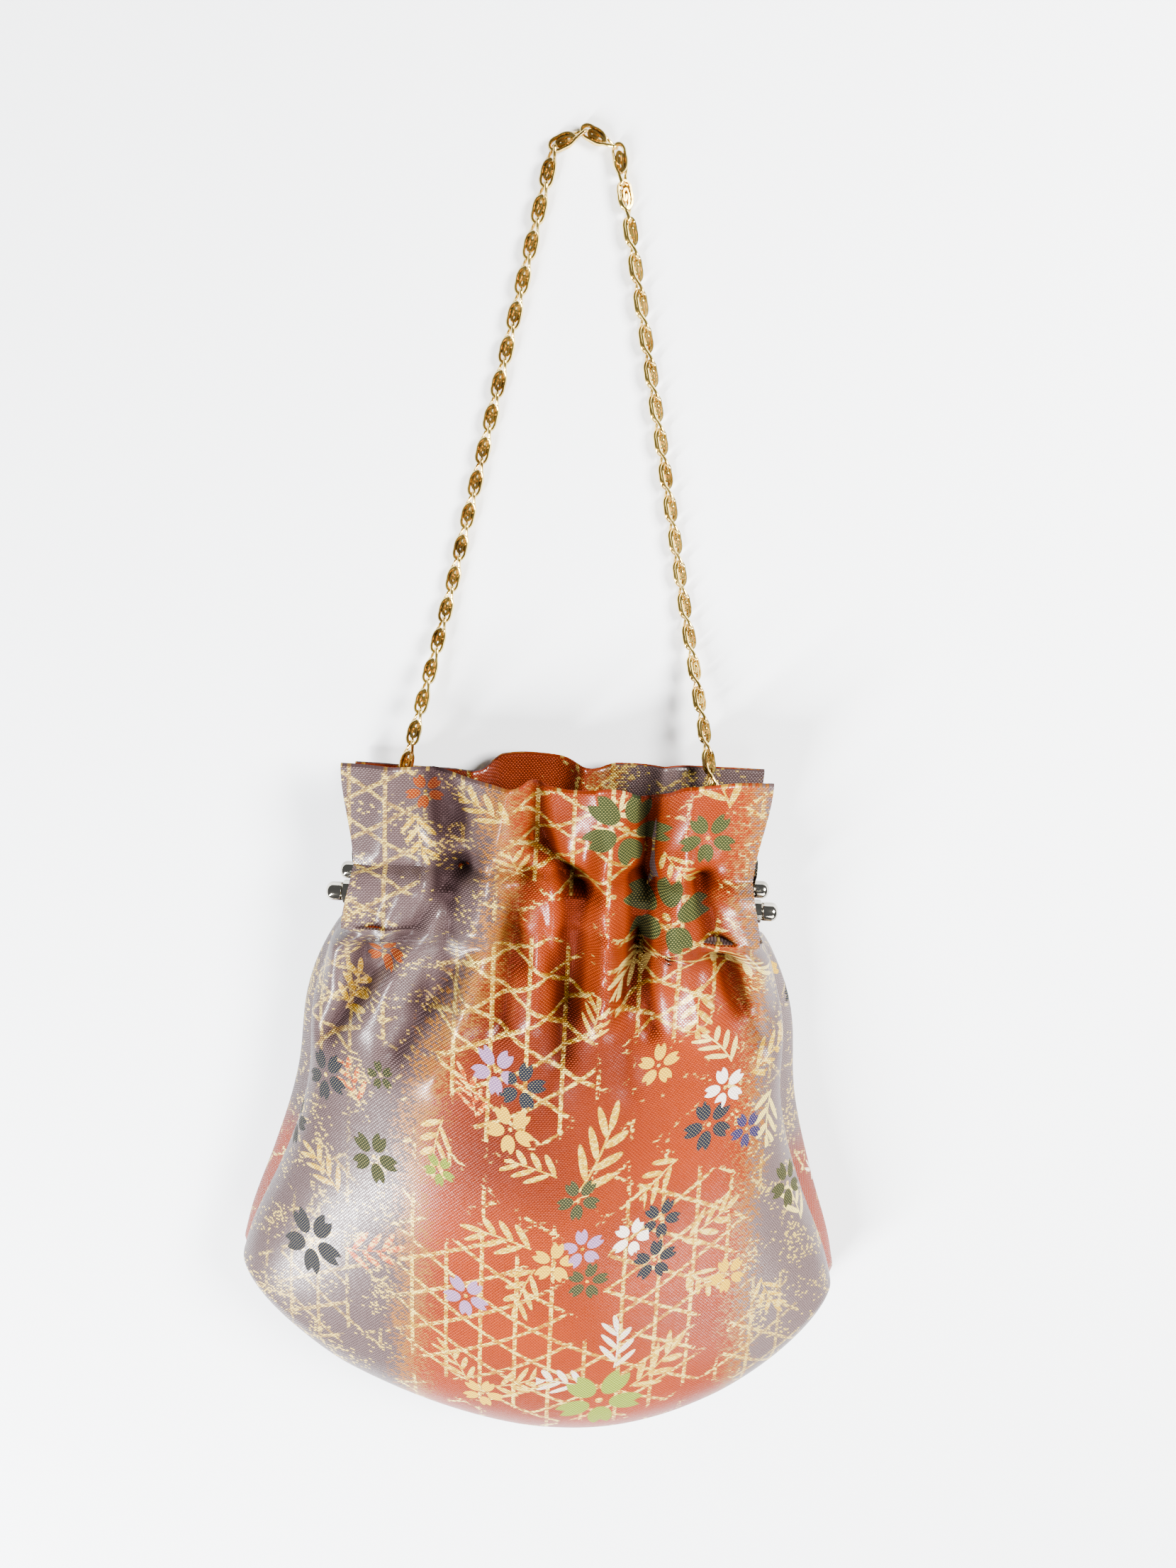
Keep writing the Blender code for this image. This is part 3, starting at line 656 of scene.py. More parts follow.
def along_curve(stations, value):
    """Height of a smooth curve through (position, height) stations."""
    xs = np.array([x for x, _ in stations])
    ys = np.array([y for _, y in stations])
    slopes = np.empty(len(xs))
    for n in range(len(xs)):
        before, after = max(n - 1, 0), min(n + 1, len(xs) - 1)
        slopes[n] = (ys[after] - ys[before]) / (xs[after] - xs[before])
    n = np.clip(np.searchsorted(xs, value) - 1, 0, len(xs) - 2)
    span = xs[n + 1] - xs[n]
    t = np.clip((value - xs[n]) / span, 0.0, 1.0)
    start = (1 + 2 * t) * (1 - t) ** 2 * ys[n] + t * (1 - t) ** 2 * span * slopes[n]
    return start + t * t * (3 - 2 * t) * ys[n + 1] + t * t * (t - 1) * span * slopes[n + 1]


def body_half_width(drop):
    share = np.clip((drop - WIDEST_DROP) / (BODY_DROP - WIDEST_DROP), 0.0, 1.0)
    below = BODY_HALF_WIDTH * (1 - share**BOTTOM_DOWN_POWER) ** (1 / BOTTOM_ACROSS_POWER)
    above = mix(CASING_HALF_WIDTH, BODY_HALF_WIDTH, along_curve(SHOULDERS, drop / WIDEST_DROP))
    return np.where(drop >= WIDEST_DROP, below, above)


def bottom_drop(x):
    share = np.clip(np.abs(x) / BODY_HALF_WIDTH, 0.0, 1.0)
    below = (1 - share**BOTTOM_ACROSS_POWER) ** (1 / BOTTOM_DOWN_POWER)
    return mix(WIDEST_DROP, BODY_DROP, below)


def evenly(u):
    return 1 - 2 * np.arccos(u) / math.pi


def arc(share):
    """Height of a half circle of radius one."""
    return np.sqrt(np.maximum(1 - share * share, 0.0))


def body_base(side, u, t, inset=0.0):
    """Unfolded outer surface of the body: u from seam to seam, t from casing to bottom."""
    edge_drop = mix(STITCH_OFFSET, CORNER_DROP, t)
    half_width = body_half_width(edge_drop) - inset
    at_top, at_middle, at_bottom = BACK_SHOWS
    back_shows = mix(mix(at_top, at_middle, step(0.12, 0.36, t)), at_bottom, step(0.45, 0.95, t))
    seam_inset = back_shows * step(0.0, GATHERED_SHARE, t)
    overhang = (FRONT_OVERHANG if side == FRONT else back_shows) * step(0.0, EDGE_SHARE, t)
    bulge = np.sqrt(half_width * overhang / 2)
    edge = half_width - seam_inset
    across = edge * u + 2 * bulge * u * arc(u)
    x = mix(CASING_HALF_WIDTH * evenly(u), across, step(0.0, GATHERED_SHARE, t))
    corner_half = body_half_width(np.array(CORNER_DROP))
    floor_drop = bottom_drop(u * corner_half) - inset
    sag = SAG * t * t * arc(t) * step(1.0, 0.6, np.abs(u))
    y = ROD_LEVEL - mix(STITCH_OFFSET, floor_drop, t + sag)
    y = y + along_curve(BOTTOM_LIFT, x * TO_MM) * MM * step(0.45, 1.0, t)
    rise = FRONT_RISE if side == FRONT else BACK_FALL
    down_power, down_root = DOWN_CROWN_POWERS
    crown_down = np.maximum(1 - t**down_power, 0.0) ** down_root
    crown = np.maximum(1 - u * u, 0.0) ** ACROSS_CROWN_POWER * crown_down
    fullness = mix(CASING_CREST, rise, step(0.0, FULL_SHARE, t)) - inset
    closing = mix(NECK_SHARE, NECK_SHARE_AT_SEAM, np.abs(u) ** CLOSING_POWER)
    height = mix(CASING_CREST - inset, fullness * crown, step(0.0, closing, t))
    slit = SLIT_HALF_GAP * (1 - step(*SLIT_SHARES, t))
    z = SEAM_LEVEL + side * np.maximum(height, slit)
    return x, y, z


# How steep the sides of a fold are
FOLD_SHARPNESS = 1.6

# Folds: start, end (each across as a share of the casing's half width, and along in metres),
# half width and depth in metres; a ridge is above zero
FRONT_FOLDS = (
    # Ruffle: hollows and the puffs between them
    (-0.624, 0.112, -0.57, 0.098, 0.0046, -0.0042),
    (-0.5, 0.1, -0.44, 0.09, 0.004, -0.0022),
    (-0.102, 0.112, -0.079, 0.095, 0.0024, -0.004),
    (-0.079, 0.095, 0.12, 0.084, 0.0026, -0.004),
    (0.465, 0.112, 0.476, 0.085, 0.0026, -0.0072),
    (0.7, 0.096, 0.78, 0.088, 0.0026, -0.002),
    (-0.8, 0.112, -0.85, 0.09, 0.0062, 0.0026),
    (-0.22, 0.112, -0.3, 0.09, 0.0036, 0.0036),
    (0.19, 0.11, 0.27, 0.093, 0.0058, 0.0056),
    (0.69, 0.112, 0.64, 0.092, 0.0056, 0.0044),
    # Casing: the pinch and the gathers beside it
    (0.1, 0.0835, 0.22, 0.0845, 0.002, -0.0044),
    (0.159, 0.083, 0.11, 0.056, 0.003, -0.0036),
    (0.476, 0.085, 0.41, 0.06, 0.0026, -0.0046),
    (-0.6, 0.087, -0.52, 0.08, 0.0024, -0.0022),
    (-0.227, 0.086, -0.136, 0.066, 0.0026, -0.003),
    (-0.06, 0.084, 0.02, 0.064, 0.002, -0.002),
    (0.29, 0.086, 0.28, 0.058, 0.0034, 0.0026),
    (0.717, 0.086, 0.839, 0.07, 0.0024, -0.003),
    (0.6, 0.084, 0.6, 0.066, 0.003, 0.0014),
    # Body: long diagonal folds that die out
    (-0.48, 0.087, -1.134, 0.046, 0.003, -0.0036),
    (-0.56, 0.078, -0.96, 0.05, 0.003, 0.0012),
    (-0.385, 0.07, -0.76, 0.044, 0.003, -0.0028),
    (-0.31, 0.064, -0.56, 0.04, 0.003, 0.0014),
    (0.839, 0.07, 1.134, 0.048, 0.0032, -0.002),
    (0.07, 0.06, 0.04, 0.036, 0.004, -0.0014),
    (0.4, 0.062, 0.44, 0.04, 0.004, -0.0014),
)

# Gathers that fan out under the casing: across and lower end (mm), half width and depth (mm)
GATHERS = (
    (-34, 60, 3.4, -1.6), (-27, 62, 3.4, 1.4), (-21, 56, 2.6, -2.6), (-14, 56, 3.8, 3.0),
    (-7, 52, 2.4, -2.8), (-2, 54, 2.6, 1.8), (3, 46, 2.4, -2.6), (10, 56, 3.6, 2.8),
    (17, 52, 2.2, -3.4), (25, 56, 4.0, 3.0), (33, 58, 2.6, -2.4), (39, 62, 3.0, 1.2),
)
GATHER_TOP = 0.0865
FAN_TOP_MM = 86
FAN_PER_MM = 0.012


def with_gathers(folds, side):
    """The folds with the fan of gathers added, mirrored for the back."""
    fan = []
    for across, low, width, depth in GATHERS:
        across *= side
        top = across * MM / CASING_HALF_WIDTH
        spread = 1.0 + (FAN_TOP_MM - low) * FAN_PER_MM
        bottom = across * spread * MM / CASING_HALF_WIDTH
        fan.append((top, GATHER_TOP, bottom, low * MM, width * MM, depth * MM))
    return folds + tuple(fan)


BACK_FOLDS = (
    (-0.454, 0.112, -0.408, 0.088, 0.0032, -0.003),
    (0.136, 0.112, 0.091, 0.086, 0.003, -0.0034),
    (0.544, 0.112, 0.499, 0.088, 0.003, -0.0028),
    (-0.408, 0.088, -0.68, 0.06, 0.0034, -0.0018),
    (0.091, 0.086, 0.0, 0.062, 0.0032, -0.002),
    (0.499, 0.088, 0.771, 0.06, 0.0034, -0.0018),
)


def fold_depth(folds, x, y):
    total = np.zeros_like(x)
    for x0, y0, x1, y1, width, depth in folds:
        x0, x1 = x0 * CASING_HALF_WIDTH, x1 * CASING_HALF_WIDTH
        run_x, run_y = x1 - x0, y1 - y0
        t = ((x - x0) * run_x + (y - y0) * run_y) / (run_x**2 + run_y**2)
        t = np.clip(t, 0.0, 1.0)
        distance = np.hypot(x - x0 - run_x * t, y - y0 - run_y * t) / width
        total += depth * np.exp(-(distance**FOLD_SHARPNESS))
    return total


# Small gathers: their two wave lengths, how high one of the usual length is, and how they wander
PLEAT_WAVES = (0.0062, 0.0105)
USUAL_WAVE = 0.006
PLEAT_HEIGHT = 0.00042
WANDER = 0.6
WANDER_LENGTH = 0.013


def pleats(x, y, seed):
    """Small gathers that start at the two stitch lines and die out away from them."""
    chance = random.Random(seed)
    total = np.zeros_like(x)
    for line in (ROD_LEVEL + STITCH_OFFSET, ROD_LEVEL - STITCH_OFFSET):
        for wave in PLEAT_WAVES:
            reach = wave * chance.uniform(1.2, 1.9)
            lean = chance.uniform(-0.25, 0.25)
            shift = chance.uniform(0, 2 * math.pi)
            wander = WANDER * np.sin(x / WANDER_LENGTH + chance.uniform(0, 6))
            ripple = np.cos((x + lean * (y - line)) * 2 * math.pi / wave + shift + wander)
            fading = np.exp(-(((y - line) / reach) ** 2))
            total += PLEAT_HEIGHT * wave / USUAL_WAVE * ripple * fading
    return total


# How far the rims dip, in mm, at places across in mm
FRONT_RIM = (
    (-47, 0.0), (-36, 0.0), (-25, -1.0), (-17, -2.6), (-9, -3.4), (-6, -2.2), (-3, -3.0), (2, -3.2),
    (10, -2.0), (15, -3.0), (20, -5.5), (24, -3.4), (28, -1.0), (36, -0.4), (47, 0.0),
)
BACK_RIM = ((-47, -3.2), (-18, -3.2), (-13, 0.4), (0, 0.6), (8, -1.8), (13, -0.6), (47, -0.4))

# How far in from the seams folds and pleats reach their depth, how much of a fold the stitched
# casing keeps, and the fold depth at which the painted fold shade is full
FOLD_FADE = 0.22
PLEAT_FADE = 0.12
FOLD_IN_CASING = 0.75
DARK_DEPTH = 0.0034


def rod_swell(drop):
    """Round swelling of the casing over its rod, from 0 at the stitches to 1 at the crest."""
    return arc(drop / STITCH_OFFSET) * (np.abs(drop) < STITCH_OFFSET)


def upper_level(drop):
    """Height of ruffle and casing above the seam's level, before the folds."""
    half = ROD_SPACING / 2
    level = mix(half + RUFFLE_FOOT, half + RUFFLE_LIFT, step(-STITCH_OFFSET, 0.0, drop))
    return np.where(drop < 0, mix(level, CASING_CREST, rod_swell(drop)), CASING_CREST)


def least_height(drop):
    """How far the outer cloth stays off the seam's level, to clear the rod and the other side."""
    over_rod = ROD_SPACING / 2 + ROD_RADIUS + ROOM_OVER_ROD
    return mix(RUFFLE_LEAST, over_rod, 1 - step(ROD_RADIUS, ROD_RADIUS * 2.4, np.abs(drop)))


def panel_surface(side, folds, u, drop):
    """Base and folded outer surface of a panel at u across and a drop along the cloth."""
    t = np.clip((drop - STITCH_OFFSET) / (BODY_DROP - STITCH_OFFSET), 0.0, 1.0)
    body_x, body_y, body_z = body_base(side, u, t)
    in_body = drop > STITCH_OFFSET
    flare = step(-STITCH_OFFSET, -RIM_RISE, drop)
    upper_x = (CASING_HALF_WIDTH + RUFFLE_FLARE * flare) * evenly(u)
    casing = 1 - step(STITCH_OFFSET * 0.6, STITCH_OFFSET, np.abs(drop))
    x = np.where(in_body, body_x, upper_x)
    spread = step(-STITCH_OFFSET, STITCH_OFFSET, drop) * step(SPREAD_END, STITCH_OFFSET, drop)
    x = x * (1 + CASING_SPREAD * spread)
    y = np.where(in_body, body_y, ROD_LEVEL - drop)
    z = np.where(in_body, body_z, SEAM_LEVEL + side * upper_level(drop))
    base = np.stack([x, y, z], axis=-1)
    from_seam = 1 - np.abs(u)
    fade = np.where(in_body, step(0.0, FOLD_FADE, from_seam), mix(1.0, FOLD_IN_CASING, casing))
    fold = fold_depth(folds, x, y) * fade
    fine = pleats(x, y, 3 if side == FRONT else 8) * step(0.0, PLEAT_FADE, from_seam)
    height = (z - SEAM_LEVEL) * side + fold + fine
    lowest = np.where(in_body, 0.0, least_height(drop))
    height = np.where(in_body, height, soft_most(height, lowest, LEAST_BLEND))
    z = SEAM_LEVEL + side * np.maximum(height, lowest)
    y = y + along_curve(FRONT_RIM if side == FRONT else BACK_RIM, x * TO_MM) * MM * flare
    if side == BACK:
        z = np.maximum(z, 0.0)
    # Painted fold shade: how dark the cloth is painted, from how deep its folds and pleats sink
    fold_shade = -(fold + fine * 1.5) / DARK_DEPTH
    return base, np.stack([x, y, z], axis=-1), fold_shade


def panel_rows():
    """Drops of the rows from the rim to the bottom seam."""
    upper = [mix(-RIM_RISE, STITCH_OFFSET, n / UPPER_ROWS) for n in range(UPPER_ROWS)]
    body = []
    for n in range(BODY_ROWS + 1):
        share = n / BODY_ROWS
        eased = mix(share**1.2, math.sin(share * math.pi / 2), share)
        body.append(mix(STITCH_OFFSET, BODY_DROP, eased))
    return upper + body


def columns_of(count):
    """Places across, from seam to seam, closer together near the seams."""
    even = np.linspace(-1, 1, count + 1)
    return np.clip(mix(even, np.sin(even * math.pi / 2), 0.75), -1, 1)


def facing_of(outer, side, drop):
    """The cloth turned over the rim: it comes down behind the rod to the lower stitches."""
    room_behind_rod = 0.0009
    least = 0.0008
    inner = outer.copy()
    behind_rod = ROD_SPACING / 2 - ROD_RADIUS - room_behind_rod
    height = (outer[..., 2] - SEAM_LEVEL) * side - FACING_GAP
    share = np.minimum(rod_swell(drop) * 1.6, 1)
    height = mix(height, np.minimum(height, behind_rod), share)
    inner[..., 2] = SEAM_LEVEL + side * np.maximum(height, least)
    return inner


def sheet_mesh(name, points, side):
    """A grid through rows of points, outer side out, with the row and column of each vertex."""
    rows, columns = points.shape[0] - 1, points.shape[1] - 1
    bm = bmesh.new()
    bmesh.ops.create_grid(bm, x_segments=columns, y_segments=rows, size=1)
    mesh = finished(bm, name)
    flat = np.empty(len(mesh.vertices) * 3, np.float32)
    mesh.vertices.foreach_get("co", flat)
    flat = flat.reshape(-1, 3)
    row = np.rint((1 - flat[:, 1]) / 2 * rows).astype(int)
    column = np.rint((flat[:, 0] + 1) / 2 * columns).astype(int)
    mesh.vertices.foreach_set("co", points[row, column].astype(np.float32).ravel())
    bm = bmesh.new()
    bm.from_mesh(mesh)
    bm.normal_update()
    if sum(face.normal.z * face.calc_area() for face in bm.faces) * side < 0:
        bmesh.ops.reverse_faces(bm, faces=bm.faces)
    bm.to_mesh(mesh)
    bm.free()
    return mesh, row, column


def lengths_from_middle(points):
    """Length along each row from its middle column."""
    steps = np.linalg.norm(np.diff(points, axis=1), axis=-1)
    total = np.concatenate([np.zeros((len(points), 1)), np.cumsum(steps, axis=1)], axis=1)
    return total - total[:, total.shape[1] // 2][:, None]


def lengths_down(points):
    steps = np.linalg.norm(np.diff(points, axis=0), axis=-1)
    return np.concatenate([np.zeros((1, points.shape[1])), np.cumsum(steps, axis=0)], axis=0)


def set_values(mesh, name, kind, values, domain="CORNER"):
    layer = mesh.attributes.new(name, kind, domain)
    field = {"FLOAT": "value", "FLOAT_VECTOR": "vector", "FLOAT_COLOR": "color"}[kind]
    layer.data.foreach_set(field, values.astype(np.float32).ravel())


# In a motif's own radii: how far from its middle it may show, a place outside every motif, and
# how far apart two layers of the cloth count
MOTIF_REACH = 1.6
FAR_AWAY = 9.0
LAYER_APART = 10


def place_motifs(mesh, cloth, motifs, name):
    """Gives each face the motif nearest to it: its place in the motif, and its colour."""
    loops = np.empty(len(mesh.loops), np.int32)
    mesh.loops.foreach_get("vertex_index", loops)
    totals = np.empty(len(mesh.polygons), np.int32)
    mesh.polygons.foreach_get("loop_total", totals)
    face_of = np.repeat(np.arange(len(totals)), totals)
    corner = cloth[loops]
    middle = np.zeros((len(totals), 3))
    np.add.at(middle, face_of, corner)
    middle /= totals[:, None]
    best = np.full(len(totals), MOTIF_REACH)
    chosen = np.full(len(totals), -1)
    for n, (s, t, layer, radius, _, _) in enumerate(motifs):
        distance = np.hypot(middle[:, 0] - s, middle[:, 1] - t) / radius
        distance += np.abs(middle[:, 2] - layer) * LAYER_APART
        nearer = distance < best
        best[nearer] = distance[nearer]
        chosen[nearer] = n
    local = np.full((len(loops), 3), FAR_AWAY)
    colour = np.ones((len(loops), 4))
    for n, (s, t, layer, radius, turn, shade) in enumerate(motifs):
        here = chosen[face_of] == n
        dx = (corner[here, 0] - s) / radius
        dy = -(corner[here, 1] - t) / radius
        cos, sin = math.cos(turn), math.sin(turn)
        local[here, 0] = dx * cos + dy * sin
        local[here, 1] = dy * cos - dx * sin
        local[here, 2] = 0
        colour[here, :3] = shade
    set_values(mesh, name, "FLOAT_VECTOR", local)
    set_values(mesh, name + "_colour", "FLOAT_COLOR", colour)


# Motifs on the front, by colour: place across and above the mouth's level, radius of a blossom
# or length of a sprig, all in mm, and turn in degrees
MOUTH_LEVEL_MM = 108.2
FRONT_BLOSSOMS = {
    NAVY: (
        (-49.9, -71, 6.6, 10), (-57.4, -85.6, 6.9, 30), (-52.2, -112, 9.4, 20),
        (-4.6, -69.4, 6.1, 40), (37.8, -76.2, 6.4, 5), (27.6, -98.8, 5.1, 25), (27.4, -109, 5.6, 50),
    ),
    PURPLE: ((46.6, -78.4, 4.6, 15),),
    GREY_GREEN: (
        (-37.6, -88.2, 6.4, 35), (9.2, -93.4, 5.4, 12), (12.6, -115.2, 5.3, 40), (58, -94, 6.9, 20),
        (-37, -70, 3.5, 0),
    ),
    LIME: ((16.4, -150.4, 11.5, 22), (-23, -90, 4, 20)),
    LILAC_PETAL: ((-15.8, -121, 5.9, 18), (10.4, -105.8, 5.4, 60), (-10.4, -65.8, 6.1, 20)),
    WHITE: ((22, -103.6, 5, 30), (41.2, -69.2, 5.3, 0)),
    GOLD_THREAD: (
        (-7.4, -79.4, 6.1, 12), (3.8, -110, 5.8, 44), (45, -114, 5.1, 8),
        (-12, -150, 5.6, 30), (26, -64, 5.1, 50),
    ),
    GREEN: ((33.2, -10.5, 6.9, 15), (15.5, -7.5, 11, 30), (25, -28.1, 10.6, 48)),
    RUST: ((-28.7, -4.1, 4.3, 10), (-36.7, -40.3, 4.8, 33)),
}
FRONT_SPRIGS = {
    LEAF_ORANGE: (
        (-44, -112, 16, -80), (-44, -112, 15, 170), (-42, -76, 13, 20),
        (-15, -76, 12, 10),
    ),
    GOLD_THREAD: (
        (-46, -98, 15, 40), (-22, -78, 14, 160), (9, -92, 20, -35), (4, -90, 14, 65),
        (-1, -106, 16, 70), (0, -112, 15, 150), (33, -105, 15, -75),
        (35, -112, 13, -140), (-9, -148, 15, -75), (-15, -146, 13, 20),
        (24, -146, 18, -55), (47, -66, 15, -60), (31, -84, 14, 120),
        (-46, -56, 14, -30), (34, -44, 14, 170), (-30, -9, 12, 180), (-10, -8, 15, 60),
        (-8, -22, 13, 10), (24, -14, 11, -150), (38, -4, 16, 20), (10, -58, 12, -20),
        (53, -116, 13, -160), (60, -86, 14, -20),
    ),
    WHITE: ((12, -146, 15, 65), (20, -140, 15, -10)),
    PALE_GOLD: (
        (42, -62, 13, 30), (24, -38, 15, 120), (36, -38, 17, -130), (8, -8, 12, -60),
        (52, -70, 15, 170), (62, -104, 16, 20),
    ),
}


def motifs_at(listed, base, cloth):
    """Finds the cloth coordinates of motifs that are listed by their place on the bag."""
    flat = base.reshape(-1, 3) * TO_MM
    cells = cloth.reshape(-1, 3)
    found = []
    for shade, motifs in listed.items():
        for x, above, radius, turn in motifs:
            apart = np.hypot(flat[:, 0] - x, flat[:, 1] - MOUTH_LEVEL_MM - above)
            s, t, layer = cells[np.argmin(apart)]
            found.append((s, t, layer, radius, math.radians(turn), shade))
    return found


# Layers of the cloth's own coordinates, which also run across and down in mm
OUTER_FRONT, TURNED_IN, OUTER_BACK = 0, 1, 2

# Cloth that the photograph doesn't show: layer, low and high corners in mm, and its colours
OUTSIDE_BACK = (OUTER_BACK, (-72, 0), (72, 165))
INSIDE_RIM = (TURNED_IN, (-40, -50), (40, -12))
BACK_SHADES = (NAVY, GREEN, LILAC_PETAL, GOLD_THREAD, WHITE, GREY_GREEN, NAVY)
MOST_TRIES = 4000


def scattered(count, seed, radius, shades, area):
    """Motifs strewn over a part of the cloth, clear of each other."""
    chance = random.Random(seed)
    layer, low, high = area
    found = []
    tries = 0
    while len(found) < count and tries < MOST_TRIES:
        tries += 1
        s, t = chance.uniform(low[0], high[0]), chance.uniform(low[1], high[1])
        size = radius * chance.uniform(0.8, 1.2)
        if all(math.hypot(s - m[0], t - m[1]) > (size + m[3]) * 0.95 for m in found):
            found.append((s, t, layer, size, chance.uniform(0, 6.3), chance.choice(shades)))
    return found


def place_all_motifs(mesh, cells, side, base, cloth):
    if side == FRONT:
        blossoms = motifs_at(FRONT_BLOSSOMS, base, cloth)
        sprigs = motifs_at(FRONT_SPRIGS, base, cloth)
    else:
        blossoms = scattered(30, 5, 7.5, BACK_SHADES, OUTSIDE_BACK)
        sprigs = scattered(30, 6, 14.0, (GOLD_THREAD, LEAF_ORANGE, WHITE), OUTSIDE_BACK)
    blossoms += scattered(5, 11, 7.0, (NAVY, GREEN, GOLD_THREAD), INSIDE_RIM)
    sprigs += scattered(5, 12, 11.0, (GOLD_THREAD, WHITE), INSIDE_RIM)
    place_motifs(mesh, cells, blossoms, "blossom")
    place_motifs(mesh, cells, sprigs, "sprig")


def make_panel(name, side, folds, node):
    """One brocade panel, in one sheet: body, casing and ruffle, turned over at the rim."""
    below_stitches, turn_over = 0.0012, 0.0005
    u = columns_of(COLUMNS)
    facing_drops = np.linspace(-RIM_RISE, STITCH_OFFSET + below_stitches, FACING_ROWS)
    grid_u, grid_drop = np.meshgrid(u, np.array(panel_rows()))
    base, outer, fold_shade = panel_surface(side, folds, grid_u, grid_drop)
    facing_u, facing_grid = np.meshgrid(u, facing_drops)
    facing_base, facing, inner_fold_shade = panel_surface(side, folds, facing_u, facing_grid)
    facing = facing_of(facing, side, facing_grid)
    turn = (outer[0] + facing[0]) / 2 + np.array([0, turn_over, 0])
    points = np.concatenate([facing[::-1], turn[None], outer], axis=0)
    bases = np.concatenate([facing_base[::-1], base[:1], base], axis=0)
    # Painted fold shade: folds are seen from their other side inside, so there it is turned over and
    # weaker
    fold_shades = np.concatenate([inner_fold_shade[::-1] * -0.4, fold_shade[:1], fold_shade], axis=0)
    first_outer = FACING_ROWS + 1
    down_mm = lengths_down(bases) * TO_MM
    down_mm -= down_mm[first_outer]
    layer = np.full(points.shape[:2], OUTER_FRONT if side == FRONT else OUTER_BACK)
    layer[:FACING_ROWS] = TURNED_IN
    cloth = np.stack([lengths_from_middle(bases) * TO_MM, down_mm, layer], axis=-1)
    mesh, row, column = sheet_mesh(name, points, side)
    cells = cloth[row, column]
    set_values(mesh, "cloth", "FLOAT_VECTOR", cells, "POINT")
    set_values(mesh, "fold_shade", "FLOAT", fold_shades[row, column], "POINT")
    place_all_motifs(mesh, cells, side, base, cloth[first_outer:])
    piece = add_piece(name, mesh, brocade, None, "orange_brocade", node)
    thicken(piece, CLOTH)
    return piece


front_cloth = make_panel("front_cloth", FRONT, with_gathers(FRONT_FOLDS, FRONT), "front_panel")
back_cloth = make_panel("back_cloth", BACK, with_gathers(BACK_FOLDS, BACK), "back_panel")
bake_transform(front_cloth)
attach(back_cloth, "bag")


# Lining

LINING_COLUMNS = 60
LINING_ROWS = 44
LINING_DROP = 0.0085
LINING_SIDE_DROP = 0.0260
LINING_ABOVE_FLOOR = 0.0028
LINING_HALF_GAP = 0.0006


def make_lining(name, side, folds, *replaced):
    """One side of the inner sack: it follows the body inside and gives way to deep folds."""
    inset_low, inset_more_above = 0.0028, 0.0041
    shallow_fold = 0.0020
    shares = np.sin(np.linspace(0, 1, LINING_ROWS + 1) * math.pi / 2)
    grid_u, grid_t = np.meshgrid(columns_of(LINING_COLUMNS), shares)
    top = mix(LINING_DROP, LINING_SIDE_DROP, step(0.78, 0.93, np.abs(grid_u)))
    start = (top - STITCH_OFFSET) / (BODY_DROP - STITCH_OFFSET)
    down = np.minimum(mix(start, 1.0, grid_t), 1.0)
    inset = inset_low + inset_more_above * (1 - step(0.1, 0.5, down))
    x, y, z = body_base(side, grid_u, down, inset)
    sunk = np.minimum(fold_depth(folds, x, y) + shallow_fold, 0.0)
    z = SEAM_LEVEL + side * np.maximum((z - SEAM_LEVEL) * side + sunk, LINING_HALF_GAP)
    edge = (grid_t >= 1) | (np.abs(grid_u) >= 1)
    z = np.where(edge, SEAM_LEVEL, z)
    if side == BACK:
        z = np.maximum(z, LINING_ABOVE_FLOOR)
    points = np.stack([x, y, z], axis=-1)
    mesh, row, column = sheet_mesh(name, points, side)
    set_values(mesh, "cloth", "FLOAT_VECTOR", points[row, column] * TO_MM, "POINT")
    piece = add_piece(name, mesh, satin, None, "lining_cloth", *replaced)
    thicken(piece, LINING_CLOTH)
    return piece


lining_front = make_lining("lining_front", FRONT, with_gathers(FRONT_FOLDS, FRONT), "lining")
lining_back = make_lining("lining_back", BACK, with_gathers(BACK_FOLDS, BACK))
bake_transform(lining_front)
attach(lining_back, "bag")


# Frame

ROUND_STEPS = 40
MERGE_TURNED = 0.000005
SHOULDER = 0.0464
KNOB_RADIUS = 0.0021
KNOB_LENGTH = 0.0039
KNOB_BEND = 0.0015
KNOB_BEND_STEPS = 8
KNOB_COLLAR = ((0.0, 0.0014), (0.0, 0.00165), (0.0002, 0.0019), (0.0005, 0.00205), (0.0010, 0.0021))


def turned(name, profile, centre, body, node):
    """A round piece along X, from (distance along, radius) pairs read from left to right."""
    bm = bmesh.new()
    verts = [bm.verts.new((along, 0, radius)) for along, radius in profile]
    for first, second in zip(verts, verts[1:]):
        bm.edges.new((first, second))
    bmesh.ops.spin(
        bm, geom=bm.verts[:] + bm.edges[:], cent=(0, 0, 0), axis=(1, 0, 0),
        angle=2 * math.pi, steps=ROUND_STEPS, use_merge=True,
    )
    bmesh.ops.remove_doubles(bm, verts=bm.verts, dist=MERGE_TURNED)
    bmesh.ops.recalc_face_normals(bm, faces=bm.faces)
    bmesh.ops.translate(bm, verts=bm.verts, vec=centre)
    mesh = finished(bm, name)
    shade_smooth(mesh, SHARP_TURNED)
    add_piece(name, mesh, nickel, body, "dark_nickel", node)


def knob_profile(hand):
    """A short barrel with a rounded outer end and a fine collar, from the shoulder outwards."""
    points = list(KNOB_COLLAR)
    for n in range(KNOB_BEND_STEPS + 1):
        angle = n / KNOB_BEND_STEPS * math.pi / 2
        along = KNOB_LENGTH - KNOB_BEND + KNOB_BEND * math.sin(angle)
        points.append((along, KNOB_RADIUS - KNOB_BEND + KNOB_BEND * math.cos(angle)))
    points.append((KNOB_LENGTH, 0))
    return [(hand * (SHOULDER + along), radius) for along, radius in points]


